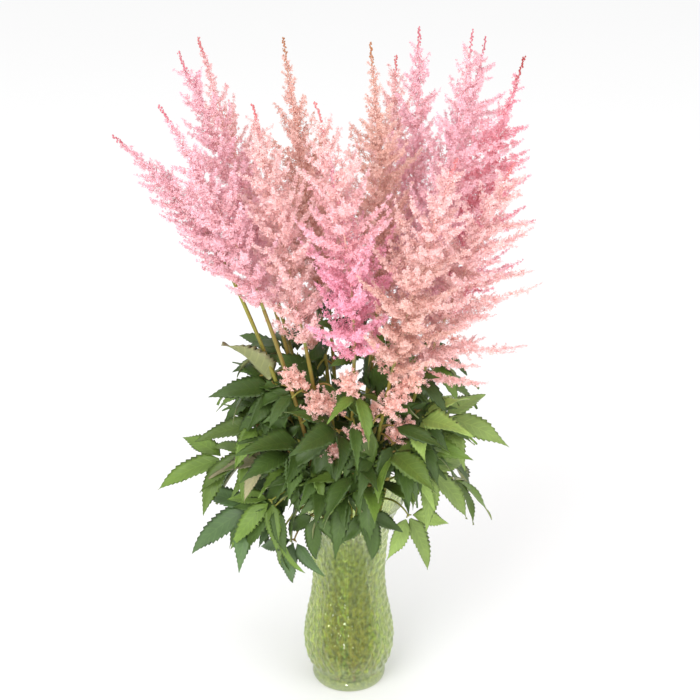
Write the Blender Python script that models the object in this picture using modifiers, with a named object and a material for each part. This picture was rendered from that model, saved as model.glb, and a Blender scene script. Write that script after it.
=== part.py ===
"""A bunch of cut astilbe with its leaves, standing in a green pressed-glass vase of water.

Metres, +Z up. The origin is the centre of the vase's flat underside. -Y is the front.

Every flowering stem follows one rule: it stands at its own spot, and one spread curve, shared
by all stems, draws the spots together in the waist of the vase and fans them out above it.
"""

import math
import random

import bmesh
import bpy
import numpy as np
from mathutils import Quaternion, Vector

MM = 0.001
UP = Vector((0, 0, 1))

# Clearance between neighbouring pieces that touch, and distance below which points are one
GAP = 0.3 * MM
MERGE = 0.01 * MM

# Vase: height and outer radius of its turned outline, from the foot up
VASE_OUTLINE = [(0, 41), (4, 42), (8, 41.5), (12, 40), (28, 46.5), (50, 49.8), (78, 47), (104, 42),
                (130, 39.2), (165, 40.5), (197, 44), (210, 47.5), (222, 52.5), (232, 58), (237, 62)]
VASE_COLUMNS = 24
VASE_WALL = 4 * MM
VASE_FLOOR = 10 * MM
FOOT_HEIGHTS = [11, 7, 3, 0]
FLARE_HEIGHT = 222
LIP_WIDTH = 2.2 * MM
LIP_ROUNDING = 1 * MM
LATTICE_START = 18 * MM
LATTICE_PITCH = 18 * MM
LATTICE_ROWS = 11
LATTICE_RELIEF = 1.6 * MM
INNER_HEIGHTS = [22, 50, 90, 130, 180, 215]
INNER_CORNER_HEIGHT = 12 * MM
INNER_CORNER_SET = 2 * MM

# Water
WATER_TOP = 150 * MM
WATER_COLUMNS = 14
HOLE_OVERSHOOT = 0.1
HOLE_WIDENING = 1.05

# Spread curve of the stems
WAIST_SPREAD = 0.26
SHOULDER_HEIGHT = 460 * MM
SPREAD_POWER = 1.45

# Stems and stalks
STEM_RADIUS = 2.7 * MM
SPRAY_STEM_RADIUS = 1.9 * MM
STALK_RADIUS = 1.2 * MM
STEM_LEVELS = [150, 200, 250, 320, 400]
STEM_LEVEL_CLEARANCE = 15 * MM

# Flower plumes: a bending core with floret-covered side branches. The reach of the branches is
# given as (place on the plume, share of the longest branch)
BEND_SHARE = 0.45
BRANCHES = 19
BRANCH_FIRST = 0.02
BRANCH_LAST = 0.80
BRANCH_OPEN = 62
BRANCH_CURL = 30
BRANCH_RADIUS = 8 * MM
BRANCH_CLEARANCE = 1.5 * MM
BRANCH_ROOT_RADIUS = 1.8 * MM
BRANCH_STOUTNESS = 0.2
BRANCH_TAPER = 0.6
BRANCH_REACH = [(0, 0.72), (0.14, 0.98), (0.3, 1), (0.55, 0.70), (0.8, 0.28), (1, 0.08)]
BRANCH_TRIMS = [1, 0.9, 0.8, 0.7, 0.6, 0.5]
TURN_SCATTER = 0.2
LENGTH_SCATTER = 0.1
FLORET_PITCH = 16.5 * MM
CORE_RADIUS = 7.5 * MM
CORE_TIP_RADIUS = 3.4 * MM
CORE_PITCH = 25 * MM
CORE_CROWDING = 1.6
GOLDEN_ANGLE = math.radians(137.5)
TURN_REFERENCE = Vector((0.3, 1, 0.1))
LINE_STEP = 8
LINE_STEPS = 30
LINE_START = 300

# Leaf blades, flat below and raised to a ridge that thins towards the tip
BLADE_RIDGE = 1.9 * MM
RIDGE_THINNING = 0.35
BLADE_ARCH = 38
BLADE_START = 0.12
BLADE_LOWNESS = 0.75
BLADE_FULLNESS = 0.8
TEETH = 3
TOOTH_NOTCH = 0.70
TOOTH_SWEEP = 0.07
TIP_STRETCH = 1.4

# Compound leaves: seats of the side leaflets on the stalk, and their length as a share of the
# end leaflet's
LEAFLET_ANGLE = 54
LEAFLET_SEAT = 5 * MM
PAIR_STEP = 0.42
UPPER_PAIR = 0.84
LOWER_PAIR = 0.72
STALK_RIDGE = 1.5
STALK_RINGS = {0: [0, 0.3, 0.6, 1], 1: [0, 0.3, 0.6], 2: [0, 0.3, 0.4]}

# Low side sprays
SPRAY_RISE = 0.9
SPRAY_STALK = 12 * MM
SPRAY_RINGS = 5
SPRAY_FOOT_RADIUS = 1.8 * MM
SPRAY_RADIUS = 6 * MM
SPRAY_THINNING = 0.7 * MM
SPRIGS = 5
SPRIG_FIRST = 0.2
SPRIG_STEP = 0.13
SPRIG_REACH = 0.42
SPRIG_SHORTENING = 0.04
SPRIG_RINGS = 2

# Surfaces
GLASS_ROUGHNESS = 0.08
GLASS_CLEARNESS = 0.9
WATER_ROUGHNESS = 0.02
LEAF_ROUGHNESS = 0.5
FLORET_ROUGHNESS = 0.7

PINK = (0.86, 0.36, 0.48)
BRIGHT_PINK = (0.85, 0.27, 0.46)
PALE_PINK = (0.86, 0.46, 0.48)
BEIGE_PINK = (0.84, 0.55, 0.46)
DEEP_PINK = (0.80, 0.22, 0.36)
LEAF_GREEN = (0.07, 0.16, 0.04)
GLASS_GREEN = (0.42, 0.58, 0.14)
WATER_TINT = (0.75, 0.85, 0.60)

# Flowering stems, in mm: spot at shoulder height, height of the plume's foot, tip of the plume,
# longest side branch, colour
PLUMES = {
    "far_left": ((-102, -20), 500, (-230, -15, 650), 46, PINK),
    "left": ((-78, -54), 484, (-175, -80, 700), 54, PINK),
    "left_back": ((-80, 54), 456, (-155, 110, 715), 62, PALE_PINK),
    "left_tall": ((-78, 6), 452, (-165, 15, 725), 70, PINK),
    "left_front": ((-48, -46), 436, (-90, -60, 695), 64, PALE_PINK),
    "golden": ((-32, 30), 446, (-65, 50, 730), 66, BEIGE_PINK),
    "front": ((6, -72), 428, (-30, -110, 712), 82, BRIGHT_PINK),
    "middle": ((28, -10), 446, (20, -25, 745), 66, BEIGE_PINK),
    "back_middle": ((36, 76), 440, (50, 150, 685), 68, PALE_PINK),
    "inner_right": ((52, 34), 446, (70, 60, 738), 60, PINK),
    "right_tall": ((68, -28), 446, (115, -50, 763), 66, PINK),
    "back_right": ((84, 62), 444, (140, 100, 718), 66, PINK),
    "right": ((96, 12), 436, (170, 5, 723), 70, DEEP_PINK),
    "right_front": ((50, -86), 412, (97, -150, 673), 76, BEIGE_PINK),
    "far_right": ((92, -58), 396, (153, -100, 651), 76, PALE_PINK),
    "back": ((-24, 88), 428, (-50, 155, 600), 70, PALE_PINK),
}

# Leaf-only stems, in mm: spot at shoulder height, height where the last stalk leaves
LEAF_STEMS = {
    "west": ((-112, 18), 262),
    "south_west": ((-46, -98), 262),
    "south_east": ((22, -112), 258),
    "north_west": ((-62, 96), 256),
}

# Leaves: stem, height on the stem in mm, bearing, rise and droop of the stalk in degrees,
# stalk in mm, leaflet length in mm, width as a share of length, pairs of side leaflets,
# degrees by which the blades face forward
LEAVES = [
    ("far_left", 365, 186, 66, 10, 20, 72, 0.64, 0, -50),
    ("far_left", 326, 190, 22, 25, 40, 62, 0.48, 2, 25),
    ("west", 262, 193, 38, 45, 96, 74, 0.42, 2, 25),
    ("left", 240, 197, 28, 50, 84, 78, 0.42, 2, 30),
    ("south_west", 250, 206, 30, 110, 76, 54, 0.38, 1, 0),
    ("south_west", 262, 246, 42, 110, 44, 50, 0.48, 1, 0),
    ("front", 285, 292, 72, 5, 26, 82, 0.38, 0, 55),
    ("south_east", 258, 290, 48, 100, 36, 50, 0.50, 1, 0),
    ("right", 325, 348, 30, 40, 50, 72, 0.44, 2, 25),
    ("far_right", 288, 350, 35, 75, 44, 74, 0.42, 2, 30),
    ("far_right", 244, 318, 30, 80, 42, 62, 0.44, 1, 20),
    ("left_front", 305, 222, 48, 30, 44, 70, 0.50, 1, 35),
    ("front", 335, 236, 45, 30, 32, 66, 0.50, 1, 40),
    ("right_front", 318, 300, 42, 40, 38, 68, 0.50, 1, 40),
    ("middle", 350, 295, 62, 10, 24, 66, 0.50, 1, 40),
    ("golden", 350, 225, 58, 10, 26, 66, 0.50, 1, 40),
    ("left_front", 264, 264, 48, 35, 34, 64, 0.50, 1, 40),
    ("right_front", 268, 272, 50, 35, 34, 64, 0.50, 1, 40),
    ("far_right", 342, 308, 48, 30, 34, 62, 0.50, 1, 40),
    ("left", 300, 232, 46, 35, 40, 64, 0.50, 1, 35),
    ("left_tall", 351, 207, 50, 35, 40, 64, 0.48, 1, 35),
    ("right_tall", 300, 326, 46, 35, 44, 64, 0.48, 1, 35),
    ("golden", 300, 250, 68, 20, 30, 62, 0.50, 1, 45),
    ("middle", 300, 266, 68, 20, 30, 62, 0.50, 1, 45),
    ("inner_right", 340, 300, 60, 20, 30, 62, 0.50, 1, 45),
    ("right_tall", 370, 286, 60, 20, 28, 62, 0.50, 1, 45),
    ("right", 248, 6, 35, 70, 82, 66, 0.44, 1, 0),
    ("back_right", 330, 36, 35, 45, 60, 66, 0.46, 1, 0),
    ("back_right", 250, 30, 40, 80, 90, 66, 0.44, 1, 0),
    ("back_middle", 330, 74, 45, 45, 56, 66, 0.46, 1, 0),
    ("back_middle", 250, 56, 42, 80, 90, 66, 0.44, 1, 0),
    ("back", 325, 116, 45, 45, 56, 66, 0.46, 1, 0),
    ("back", 250, 98, 42, 80, 92, 66, 0.44, 1, 0),
    ("north_west", 256, 128, 42, 80, 90, 66, 0.44, 1, 0),
    ("left_back", 330, 152, 35, 45, 60, 66, 0.46, 1, 0),
    ("left_back", 252, 168, 40, 75, 92, 66, 0.44, 1, 0),
]

# Low side sprays of florets: stem, height on the stem, bearing, length in mm
SIDE_SPRAYS = [
    ("front", 352, 195, 48),
    ("right_front", 326, 335, 44),
    ("left_front", 380, 225, 44),
    ("right_front", 366, 290, 46),
    ("left_front", 292, 285, 44),
]


def clear_scene():
    """Start from an empty file."""
    for item in list(bpy.data.objects):
        bpy.data.objects.remove(item, do_unlink=True)


def new_collection(name):
    """A collection linked to the scene."""
    collection = bpy.data.collections.new(name)
    bpy.context.scene.collection.children.link(collection)
    return collection


def material(name, colour, roughness, transmission=0.0):
    """A plain surface of one colour."""
    surface = bpy.data.materials.new(name)
    surface.use_nodes = True
    shader = surface.node_tree.nodes["Principled BSDF"]
    shader.inputs["Base Color"].default_value = (*colour, 1)
    shader.inputs["Roughness"].default_value = roughness
    shader.inputs["Metallic"].default_value = 0.0
    shader.inputs["Transmission Weight"].default_value = transmission
    return surface


def add_object(name, mesh, collection):
    """A named object in a collection."""
    item = bpy.data.objects.new(name, mesh)
    collection.objects.link(item)
    return item


def mesh_from(name, vertices, faces):
    """A mesh whose faces all point out."""
    mesh = bpy.data.meshes.new(name)
    mesh.from_pydata([tuple(v) for v in vertices], [], faces)
    shape = bmesh.new()
    shape.from_mesh(mesh)
    bmesh.ops.recalc_face_normals(shape, faces=shape.faces)
    shape.to_mesh(mesh)
    shape.free()
    return mesh


def evaluated_mesh(item):
    """The mesh of an object with its modifiers applied."""
    graph = bpy.context.evaluated_depsgraph_get()
    return bpy.data.meshes.new_from_object(item.evaluated_get(graph))


def join_pieces(name, pieces, operation, collection, surface):
    """One body from a first closed piece and the others, added to it or cut from it."""
    body = pieces[0]
    rest = new_collection("repeats")
    for piece in pieces[1:]:
        rest.objects.link(piece)
    joint = body.modifiers.new("join", "BOOLEAN")
    joint.operation = operation
    joint.operand_type = "COLLECTION"
    joint.collection = rest
    joint.solver = "EXACT"
    mesh = evaluated_mesh(body)
    for piece in pieces:
        bpy.data.objects.remove(piece, do_unlink=True)
    bpy.data.collections.remove(rest)
    mesh.materials.clear()
    mesh.materials.append(surface)
    return add_object(name, mesh, collection)


def tube(name, points, radii, collection):
    """A closed four-sided tube along points, thick as the radii say."""
    curve = bpy.data.curves.new(name, "CURVE")
    curve.dimensions = "3D"
    curve.bevel_depth = 1.0
    curve.bevel_resolution = 0
    curve.use_fill_caps = True
    spline = curve.splines.new("POLY")
    spline.points.add(len(points) - 1)
    for knot, point, radius in zip(spline.points, points, radii):
        knot.co = (*point, 1)
        knot.radius = radius
    item = add_object(name, curve, collection)
    mesh = evaluated_mesh(item)
    bpy.data.objects.remove(item, do_unlink=True)
    shape = bmesh.new()
    shape.from_mesh(mesh)
    bmesh.ops.remove_doubles(shape, verts=shape.verts, dist=MERGE)
    bmesh.ops.recalc_face_normals(shape, faces=shape.faces)
    shape.to_mesh(mesh)
    shape.free()
    return add_object(name, mesh, collection)


def smooth_through(knots, at):
    """Value at a place of the smooth curve through the knots, which are (place, value) pairs."""
    places = [knot[0] for knot in knots]
    values = [knot[1] for knot in knots]
    slopes = np.gradient(values, places)
    k = min(max(int(np.searchsorted(places, at)) - 1, 0), len(knots) - 2)
    width = places[k + 1] - places[k]
    t = (at - places[k]) / width
    start = values[k] * (1 + 2 * t) * (1 - t) ** 2 + slopes[k] * width * t * (1 - t) ** 2
    end = values[k + 1] * t * t * (3 - 2 * t) - slopes[k + 1] * width * t * t * (1 - t)
    return start + end


def vase_radius(height):
    """Outer radius of the vase at a height."""
    return smooth_through(VASE_OUTLINE, height / MM) * MM


def inner_radius(height):
    """Radius of the hollow at a height."""
    return vase_radius(height) - VASE_WALL


def turned(name, profile, columns, collection):
    """A body turned about the upright axis from its profile, whose outer side runs down."""
    mesh = bpy.data.meshes.new(name)
    edges = [(k, k + 1) for k in range(len(profile) - 1)]
    mesh.from_pydata([(x, 0, z) for x, z in profile], edges, [])
    item = add_object(name, mesh, collection)
    screw = item.modifiers.new("turn", "SCREW")
    screw.steps = columns
    screw.render_steps = columns
    screw.use_merge_vertices = True
    screw.merge_threshold = MERGE
    turned_mesh = evaluated_mesh(item)
    bpy.data.objects.remove(item, do_unlink=True)
    return add_object(name, turned_mesh, collection)


def inner_corner():
    """Radius of the hollow where its wall meets its floor."""
    return inner_radius(INNER_CORNER_HEIGHT) - INNER_CORNER_SET


def lattice_heights():
    """Heights of the rows of the pressed diamond lattice."""
    return [LATTICE_START + LATTICE_PITCH * row for row in range(LATTICE_ROWS)]


def make_vase(collection, surface):
    """Glass vase: smooth inside, raised diamonds outside, plain foot and flared lip."""
    height = VASE_OUTLINE[-1][0] * MM
    rows = lattice_heights()
    lip = vase_radius(height)
    inside = [(0, VASE_FLOOR), (inner_corner(), VASE_FLOOR)]
    inside += [(inner_radius(z * MM), z * MM) for z in INNER_HEIGHTS]
    rim = [(lip - LIP_WIDTH, height), (lip, height - LIP_ROUNDING)]
    outside = [(vase_radius(z), z) for z in [FLARE_HEIGHT * MM] + rows[::-1]]
    foot = [(vase_radius(z * MM), z * MM) for z in FOOT_HEIGHTS] + [(0, 0)]
    vase = turned("vase", inside + rim + outside + foot, VASE_COLUMNS, collection)

    for vertex in vase.data.vertices:
        place = vertex.co
        row = round((place.z - LATTICE_START) / LATTICE_PITCH)
        on_row = 0 <= row < LATTICE_ROWS and math.isclose(place.z, rows[row], abs_tol=GAP)
        reach = math.hypot(place.x, place.y)
        if not on_row or reach < vase_radius(place.z) - VASE_WALL / 2:
            continue
        column = round(math.atan2(place.y, place.x) / (2 * math.pi) * VASE_COLUMNS)
        if (row + column) % 2 == 0:
            place.xy *= (reach + LATTICE_RELIEF) / reach

    shape = bmesh.new()
    shape.from_mesh(vase.data)
    bmesh.ops.triangulate(shape, faces=shape.faces, quad_method="SHORT_EDGE")
    bmesh.ops.recalc_face_normals(shape, faces=shape.faces)
    shape.to_mesh(vase.data)
    shape.free()
    vase.data.materials.append(surface)
    return vase


def make_water(collection, surface, stems):
    """Water in the vase, with a plain hole round each stem."""
    fit = math.cos(math.pi / VASE_COLUMNS)
    bottom = VASE_FLOOR + GAP
    profile = [(0, WATER_TOP)]
    levels = [WATER_TOP] + [z * MM for z in INNER_HEIGHTS[::-1] if z * MM < WATER_TOP]
    profile += [(inner_radius(z) * fit - GAP, z) for z in levels]
    profile += [(inner_corner() * fit - GAP, bottom), (0, bottom)]
    water = turned("water", profile, WATER_COLUMNS, collection)
    holes = []
    for name, (spot, radius) in stems.items():
        low = stem_place(spot, 0)
        high = stem_place(spot, WATER_TOP)
        high += (high - low) * HOLE_OVERSHOOT
        wide = (radius + GAP) * HOLE_WIDENING
        holes.append(tube(name + "_hole", [low, high], [wide, wide], collection))
    return join_pieces("water", [water] + holes, "DIFFERENCE", collection, surface)


def spread(height):
    """Share of its shoulder offset that a stem keeps at a height."""
    rise = max(height - WATER_TOP, 0) / (SHOULDER_HEIGHT - WATER_TOP)
    return WAIST_SPREAD + (1 - WAIST_SPREAD) * rise ** SPREAD_POWER


def stem_place(spot, height):
    """Point on the stem of a spot at a height."""
    return Vector((spot[0] * MM * spread(height), spot[1] * MM * spread(height), height))


def stem_course(spot, top):
    """Points of a stem from the vase's floor up to its top."""
    between = [z * MM for z in STEM_LEVELS if z * MM < top - STEM_LEVEL_CLEARANCE]
    return [stem_place(spot, z) for z in [VASE_FLOOR + GAP] + between + [top]]


def plume_axis(plume, share):
    """Point and direction on a plume's axis, from 0 at its foot to 1 at its tip."""
    spot, foot_height, tip, _, _ = plume
    foot = stem_place(spot, foot_height * MM)
    heading = (foot - stem_place(spot, (foot_height - LINE_STEP) * MM)).normalized()
    start = foot + heading * GAP
    end = Vector(tip) * MM
    bend = start + heading * (end - start).length * BEND_SHARE
    place = start * (1 - share) ** 2 + bend * 2 * share * (1 - share) + end * share ** 2
    direction = (bend - start) * (1 - share) + (end - bend) * share
    return place, direction.normalized()


def growth_lines():
    """Sample points of each flowering stem and its plume, in metres."""
    lines = {}
    for name, plume in PLUMES.items():
        stem = [stem_place(plume[0], z * MM) for z in range(LINE_START, plume[1], LINE_STEP)]
        flower = [plume_axis(plume, k / LINE_STEPS)[0] for k in range(LINE_STEPS + 1)]
        lines[name] = np.array([tuple(p) for p in stem + flower])
    return lines


def own_room(name, point, lines):
    """How much nearer a point is to its own stem than to any other."""
    def reach(line):
        return np.sqrt(((line - np.array(point)) ** 2).sum(axis=1)).min()
    return min(reach(line) for other, line in lines.items() if other != name) - reach(lines[name])


def across(direction, turn):
    """Unit vector square to a direction, turned round it."""
    side = direction.cross(TURN_REFERENCE).normalized()
    return Quaternion(direction, turn) @ side


def rod_corners(points, radii, turn):
    """Corners of a rod's three-sided rings, each turned half a side on from the last."""
    corners = []
    for k in range(len(points) - 1):
        ends = (k - 1, k + 1) if k > 1 else (0, 1)
        heading = (points[ends[1]] - points[ends[0]]).normalized()
        for corner in range(3):
            angle = turn + math.pi / 3 * (2 * corner + max(k, 1))
            corners.append(points[k] + across(heading, angle) * radii[k])
    return corners + [points[-1]]


def spiky_rod(name, corners, collection):
    """Tapered rod whose corners stand out like florets. It starts flat and ends in a point."""
    tip = len(corners) - 1
    faces = [(0, 1, 2)]
    for low in range(0, tip - 3, 3):
        high = low + 3
        for corner in range(3):
            after = (corner + 1) % 3
            if low == 0:
                faces.append((low + corner, low + after, high + after, high + corner))
            else:
                faces.append((low + corner, low + after, high + corner))
                faces.append((low + after, high + after, high + corner))
    faces += [(tip - 3, tip - 2, tip), (tip - 2, tip - 1, tip), (tip - 1, tip - 3, tip)]
    return add_object(name, mesh_from(name, corners, faces), collection)


def branch_points(root, along, turn, length, rings):
    """Course of a side branch: out from the axis, curling up towards the tip."""
    out = across(along, turn)
    points = [root]
    for k in range(rings):
        lean = math.radians(BRANCH_OPEN - BRANCH_CURL * (k + 0.5) / rings)
        points.append(points[-1] + (out * math.sin(lean) + along * math.cos(lean)) * length / rings)
    return points


def branch_radii(rings, length):
    """Thickness along a side branch: thin root, full middle, fine tip, slim when it is short."""
    full = min(BRANCH_RADIUS, BRANCH_STOUTNESS * length)
    return [BRANCH_ROOT_RADIUS] + [full * (1 - BRANCH_TAPER * k / rings) for k in range(rings)]


def fitting_branch(name, root, along, turn, full, lines):
    """Corners of the longest trim of a side branch that stays clear of the neighbours."""
    for trim in BRANCH_TRIMS:
        length = full * trim
        rings = max(2, round(length / FLORET_PITCH))
        points = branch_points(root, along, turn, length, rings)
        corners = rod_corners(points, branch_radii(rings, length), turn)
        if all(own_room(name, corner, lines) > BRANCH_CLEARANCE for corner in corners[3:]):
            return corners
    return None


def make_plume(name, plume, lines, collection, surface):
    """One plume: a core with side branches that stay clear of the neighbours."""
    draw = random.Random(name)
    rings = round((plume_axis(plume, 1)[0] - plume_axis(plume, 0)[0]).length / CORE_PITCH)
    shares = [1 - (1 - k / rings) ** CORE_CROWDING for k in range(rings + 1)]
    points = [plume_axis(plume, share)[0] for share in shares]
    radii = [CORE_TIP_RADIUS + (CORE_RADIUS - CORE_TIP_RADIUS) * (1 - share) for share in shares]
    radii[0] = STEM_RADIUS
    pieces = [spiky_rod(name, rod_corners(points, radii, 0), collection)]
    for k in range(BRANCHES):
        share = BRANCH_FIRST + (BRANCH_LAST - BRANCH_FIRST) * k / (BRANCHES - 1)
        root, along = plume_axis(plume, share)
        turn = GOLDEN_ANGLE * k + draw.uniform(-TURN_SCATTER, TURN_SCATTER)
        full = plume[3] * MM * smooth_through(BRANCH_REACH, share)
        full *= draw.uniform(1 - LENGTH_SCATTER, 1 + LENGTH_SCATTER)
        corners = fitting_branch(name, root, along, turn, full, lines)
        if corners:
            pieces.append(spiky_rod("branch", corners, collection))
    return join_pieces(f"plume_{name}", pieces, "UNION", collection, surface)


def stalk_at(leaf, spots, share):
    """Point and heading at a share of a leaf's stalk, which bends down evenly along its length."""
    host, height, _, _, _, stalk = leaf[:6]
    bearing, rise, bend = [math.radians(angle) for angle in leaf[2:5]]
    slope = rise - bend * share
    ahead = (math.sin(rise) - math.sin(slope)) / bend * stalk * MM
    lift = (math.cos(slope) - math.cos(rise)) / bend * stalk * MM
    flat = Vector((math.cos(bearing), math.sin(bearing), 0))
    heading = flat * math.cos(slope) + UP * math.sin(slope)
    return stem_place(spots[host], height * MM) + flat * ahead + UP * lift, heading


def bridge(faces, old, new, sides=True):
    """Join a ring of a leaf to the next one. A ring is its left edge, ridge and right edge."""
    faces += [(old[-1], old[0], new[0]), (old[-1], new[0], new[2])]
    if not sides:
        return
    faces += [(old[0], old[1], new[1]), (old[0], new[1], new[0])]
    faces += [(old[-2], old[-1], new[2]), (old[-2], new[2], new[1])]
    if len(old) == 4:
        faces.append((old[1], old[2], new[1]))


def add_ring(vertices, place, side, normal, half, ridge):
    """Add a section of a leaf, flat below and raised to a ridge. Returns its three numbers."""
    first = len(vertices)
    vertices += [place - side * half, place + normal * ridge, place + side * half]
    return [first, first + 1, first + 2]


def leaflet_half(width, share):
    """Half the width of a leaflet without teeth, at a share of its length. It is broad low down."""
    place = (BLADE_START + (1 - BLADE_START) * share) ** BLADE_LOWNESS
    return width / 2 * math.sin(math.pi * place) ** BLADE_FULLNESS


def grow_leaflet(vertices, faces, ring, place, heading, normal, length, width):
    """Toothed leaflet on a ring of the stalk: broad below its middle, arching down to its tip."""
    side = heading.cross(normal).normalized()
    step = length / (2 * TEETH)
    for k in range(1, 2 * TEETH):
        share = k / (2 * TEETH)
        bend = Quaternion(side, -math.radians(BLADE_ARCH) * share)
        ahead = bend @ heading
        place = place + ahead * step
        tooth = k % 2 == 1
        half = leaflet_half(width, share) * (1 if tooth else TOOTH_NOTCH)
        ridge = BLADE_RIDGE * (1 - RIDGE_THINNING * share)
        new = add_ring(vertices, place, side, bend @ normal, half, ridge)
        if tooth:
            vertices[new[0]] += ahead * TOOTH_SWEEP * length
            vertices[new[2]] += ahead * TOOTH_SWEEP * length
        bridge(faces, ring, new)
        ring = new
    vertices.append(place + ahead * step * TIP_STRETCH)
    tip = len(vertices) - 1
    faces += [(ring[0], ring[1], tip), (ring[1], ring[2], tip), (ring[2], ring[0], tip)]


def grow_pair(vertices, faces, ring, new, middle, heading, normal, length, width):
    """A leaflet to the left and one to the right, out of the stalk's sides between two rings."""
    left = [ring[0], ring[1], new[1], new[0]]
    right = [new[2], new[1], ring[1], ring[2]]
    for hand, seat_ring in ((1, left), (-1, right)):
        out = Quaternion(normal, hand * math.radians(LEAFLET_ANGLE)) @ heading
        grow_leaflet(vertices, faces, seat_ring, middle, out, normal, length, width)


def make_leaf(leaf, spots, collection):
    """One compound leaf: a stalk with pairs of side leaflets and one at its end."""
    stalk, size, width, pairs, lean = leaf[5:]
    up = Vector((0, -math.sin(math.radians(lean)), math.cos(math.radians(lean))))
    half_seat = LEAFLET_SEAT / 2 / (stalk * MM)
    seats = [1 - half_seat - PAIR_STEP * pair for pair in reversed(range(pairs))]
    stations = [(share, None) for share in STALK_RINGS[pairs]]
    for seat in seats:
        stations += [(seat - half_seat, None), (seat + half_seat, seat)]
    vertices = []
    faces = [(0, 1, 2)]
    ring = None
    for share, seat in sorted(stations, key=lambda station: station[0]):
        place, heading = stalk_at(leaf, spots, share)
        side = heading.cross(up).normalized()
        normal = side.cross(heading)
        new = add_ring(vertices, place, side, normal, STALK_RADIUS, STALK_RADIUS * STALK_RIDGE)
        if ring:
            bridge(faces, ring, new, seat is None)
        if seat is not None:
            length = size * MM * (UPPER_PAIR if seat == seats[-1] else LOWER_PAIR)
            middle = stalk_at(leaf, spots, seat)[0]
            grow_pair(vertices, faces, ring, new, middle, heading, normal, length, length * width)
        ring = new
    grow_leaflet(vertices, faces, ring, place, heading, normal, size * MM, size * MM * width)
    return add_object("leaf", mesh_from("leaf", vertices, faces), collection)


def spray_stalk(spray, spots):
    """Green foot of a low side spray, out of its stem."""
    host, height, bearing, _ = spray
    start = stem_place(spots[host], height * MM)
    heading = math.radians(bearing)
    out = Vector((math.cos(heading), math.sin(heading), SPRAY_RISE)).normalized()
    return [start, start + out * SPRAY_STALK]


def make_stems(collection, surface):
    """Every stem with its leaves, flowering stems first. Returns the stems' spots and radii."""
    spots = {name: plume[0] for name, plume in PLUMES.items()}
    spots.update({name: spray[0] for name, spray in LEAF_STEMS.items()})
    sizes = {}
    for name, spot in spots.items():
        flowering = name in PLUMES
        top = (PLUMES[name][1] if flowering else LEAF_STEMS[name][1]) * MM
        radius = STEM_RADIUS if flowering else SPRAY_STEM_RADIUS
        course = stem_course(spot, top)
        pieces = [tube(name, course, [radius] * len(course), collection)]
        pieces += [make_leaf(leaf, spots, collection) for leaf in LEAVES if leaf[0] == name]
        for spray in SIDE_SPRAYS:
            if spray[0] == name:
                points = spray_stalk(spray, spots)
                pieces.append(tube("spray_stalk", points, [STALK_RADIUS] * len(points), collection))
        kind = "stem" if flowering else "leaf_spray"
        join_pieces(f"{kind}_{name}", pieces, "UNION", collection, surface)
        sizes[name] = (spot, radius)
    return sizes


def make_side_sprays(collection, surface):
    """Small floret sprays low on the stems."""
    spots = {name: plume[0] for name, plume in PLUMES.items()}
    for number, spray in enumerate(SIDE_SPRAYS, 1):
        stalk = spray_stalk(spray, spots)
        along = (stalk[1] - stalk[0]).normalized()
        start = stalk[1] + along * GAP
        length = spray[3] * MM
        points = [start + along * length * k / SPRAY_RINGS for k in range(SPRAY_RINGS + 1)]
        radii = [SPRAY_FOOT_RADIUS]
        radii += [SPRAY_RADIUS - SPRAY_THINNING * k for k in range(SPRAY_RINGS)]
        pieces = [spiky_rod("spray", rod_corners(points, radii, 0), collection)]
        for k in range(SPRIGS):
            root = start + along * length * (SPRIG_FIRST + SPRIG_STEP * k)
            reach = length * (SPRIG_REACH - SPRIG_SHORTENING * k)
            course = branch_points(root, along, GOLDEN_ANGLE * k, reach, SPRIG_RINGS)
            corners = rod_corners(course, branch_radii(SPRIG_RINGS, reach), 0)
            pieces.append(spiky_rod("sprig", corners, collection))
        join_pieces(f"side_spray_{number:02d}", pieces, "UNION", collection, surface)


def build():
    """The whole arrangement."""
    clear_scene()
    parts = new_collection("astilbe_in_vase")
    make_vase(parts, material("green_glass", GLASS_GREEN, GLASS_ROUGHNESS, GLASS_CLEARNESS))
    stems = make_stems(parts, material("leaf_green", LEAF_GREEN, LEAF_ROUGHNESS))
    make_water(parts, material("water", WATER_TINT, WATER_ROUGHNESS, 1.0), stems)
    lines = growth_lines()
    for name, plume in PLUMES.items():
        surface = material(f"florets_{name}", plume[4], FLORET_ROUGHNESS)
        make_plume(name, plume, lines, parts, surface)
    make_side_sprays(parts, material("florets_low", PALE_PINK, FLORET_ROUGHNESS))


build()
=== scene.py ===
"""Finished look of the astilbe bunch in its green pressed-glass vase.

Metres, +Z up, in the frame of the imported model. -Y is the front. The stems, plumes and leaves
follow the same rules and values as the solids that they stand for, with florets and teeth at
their real size.
"""

import zlib
from math import atan2, cos, degrees, pi, radians, sin

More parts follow.
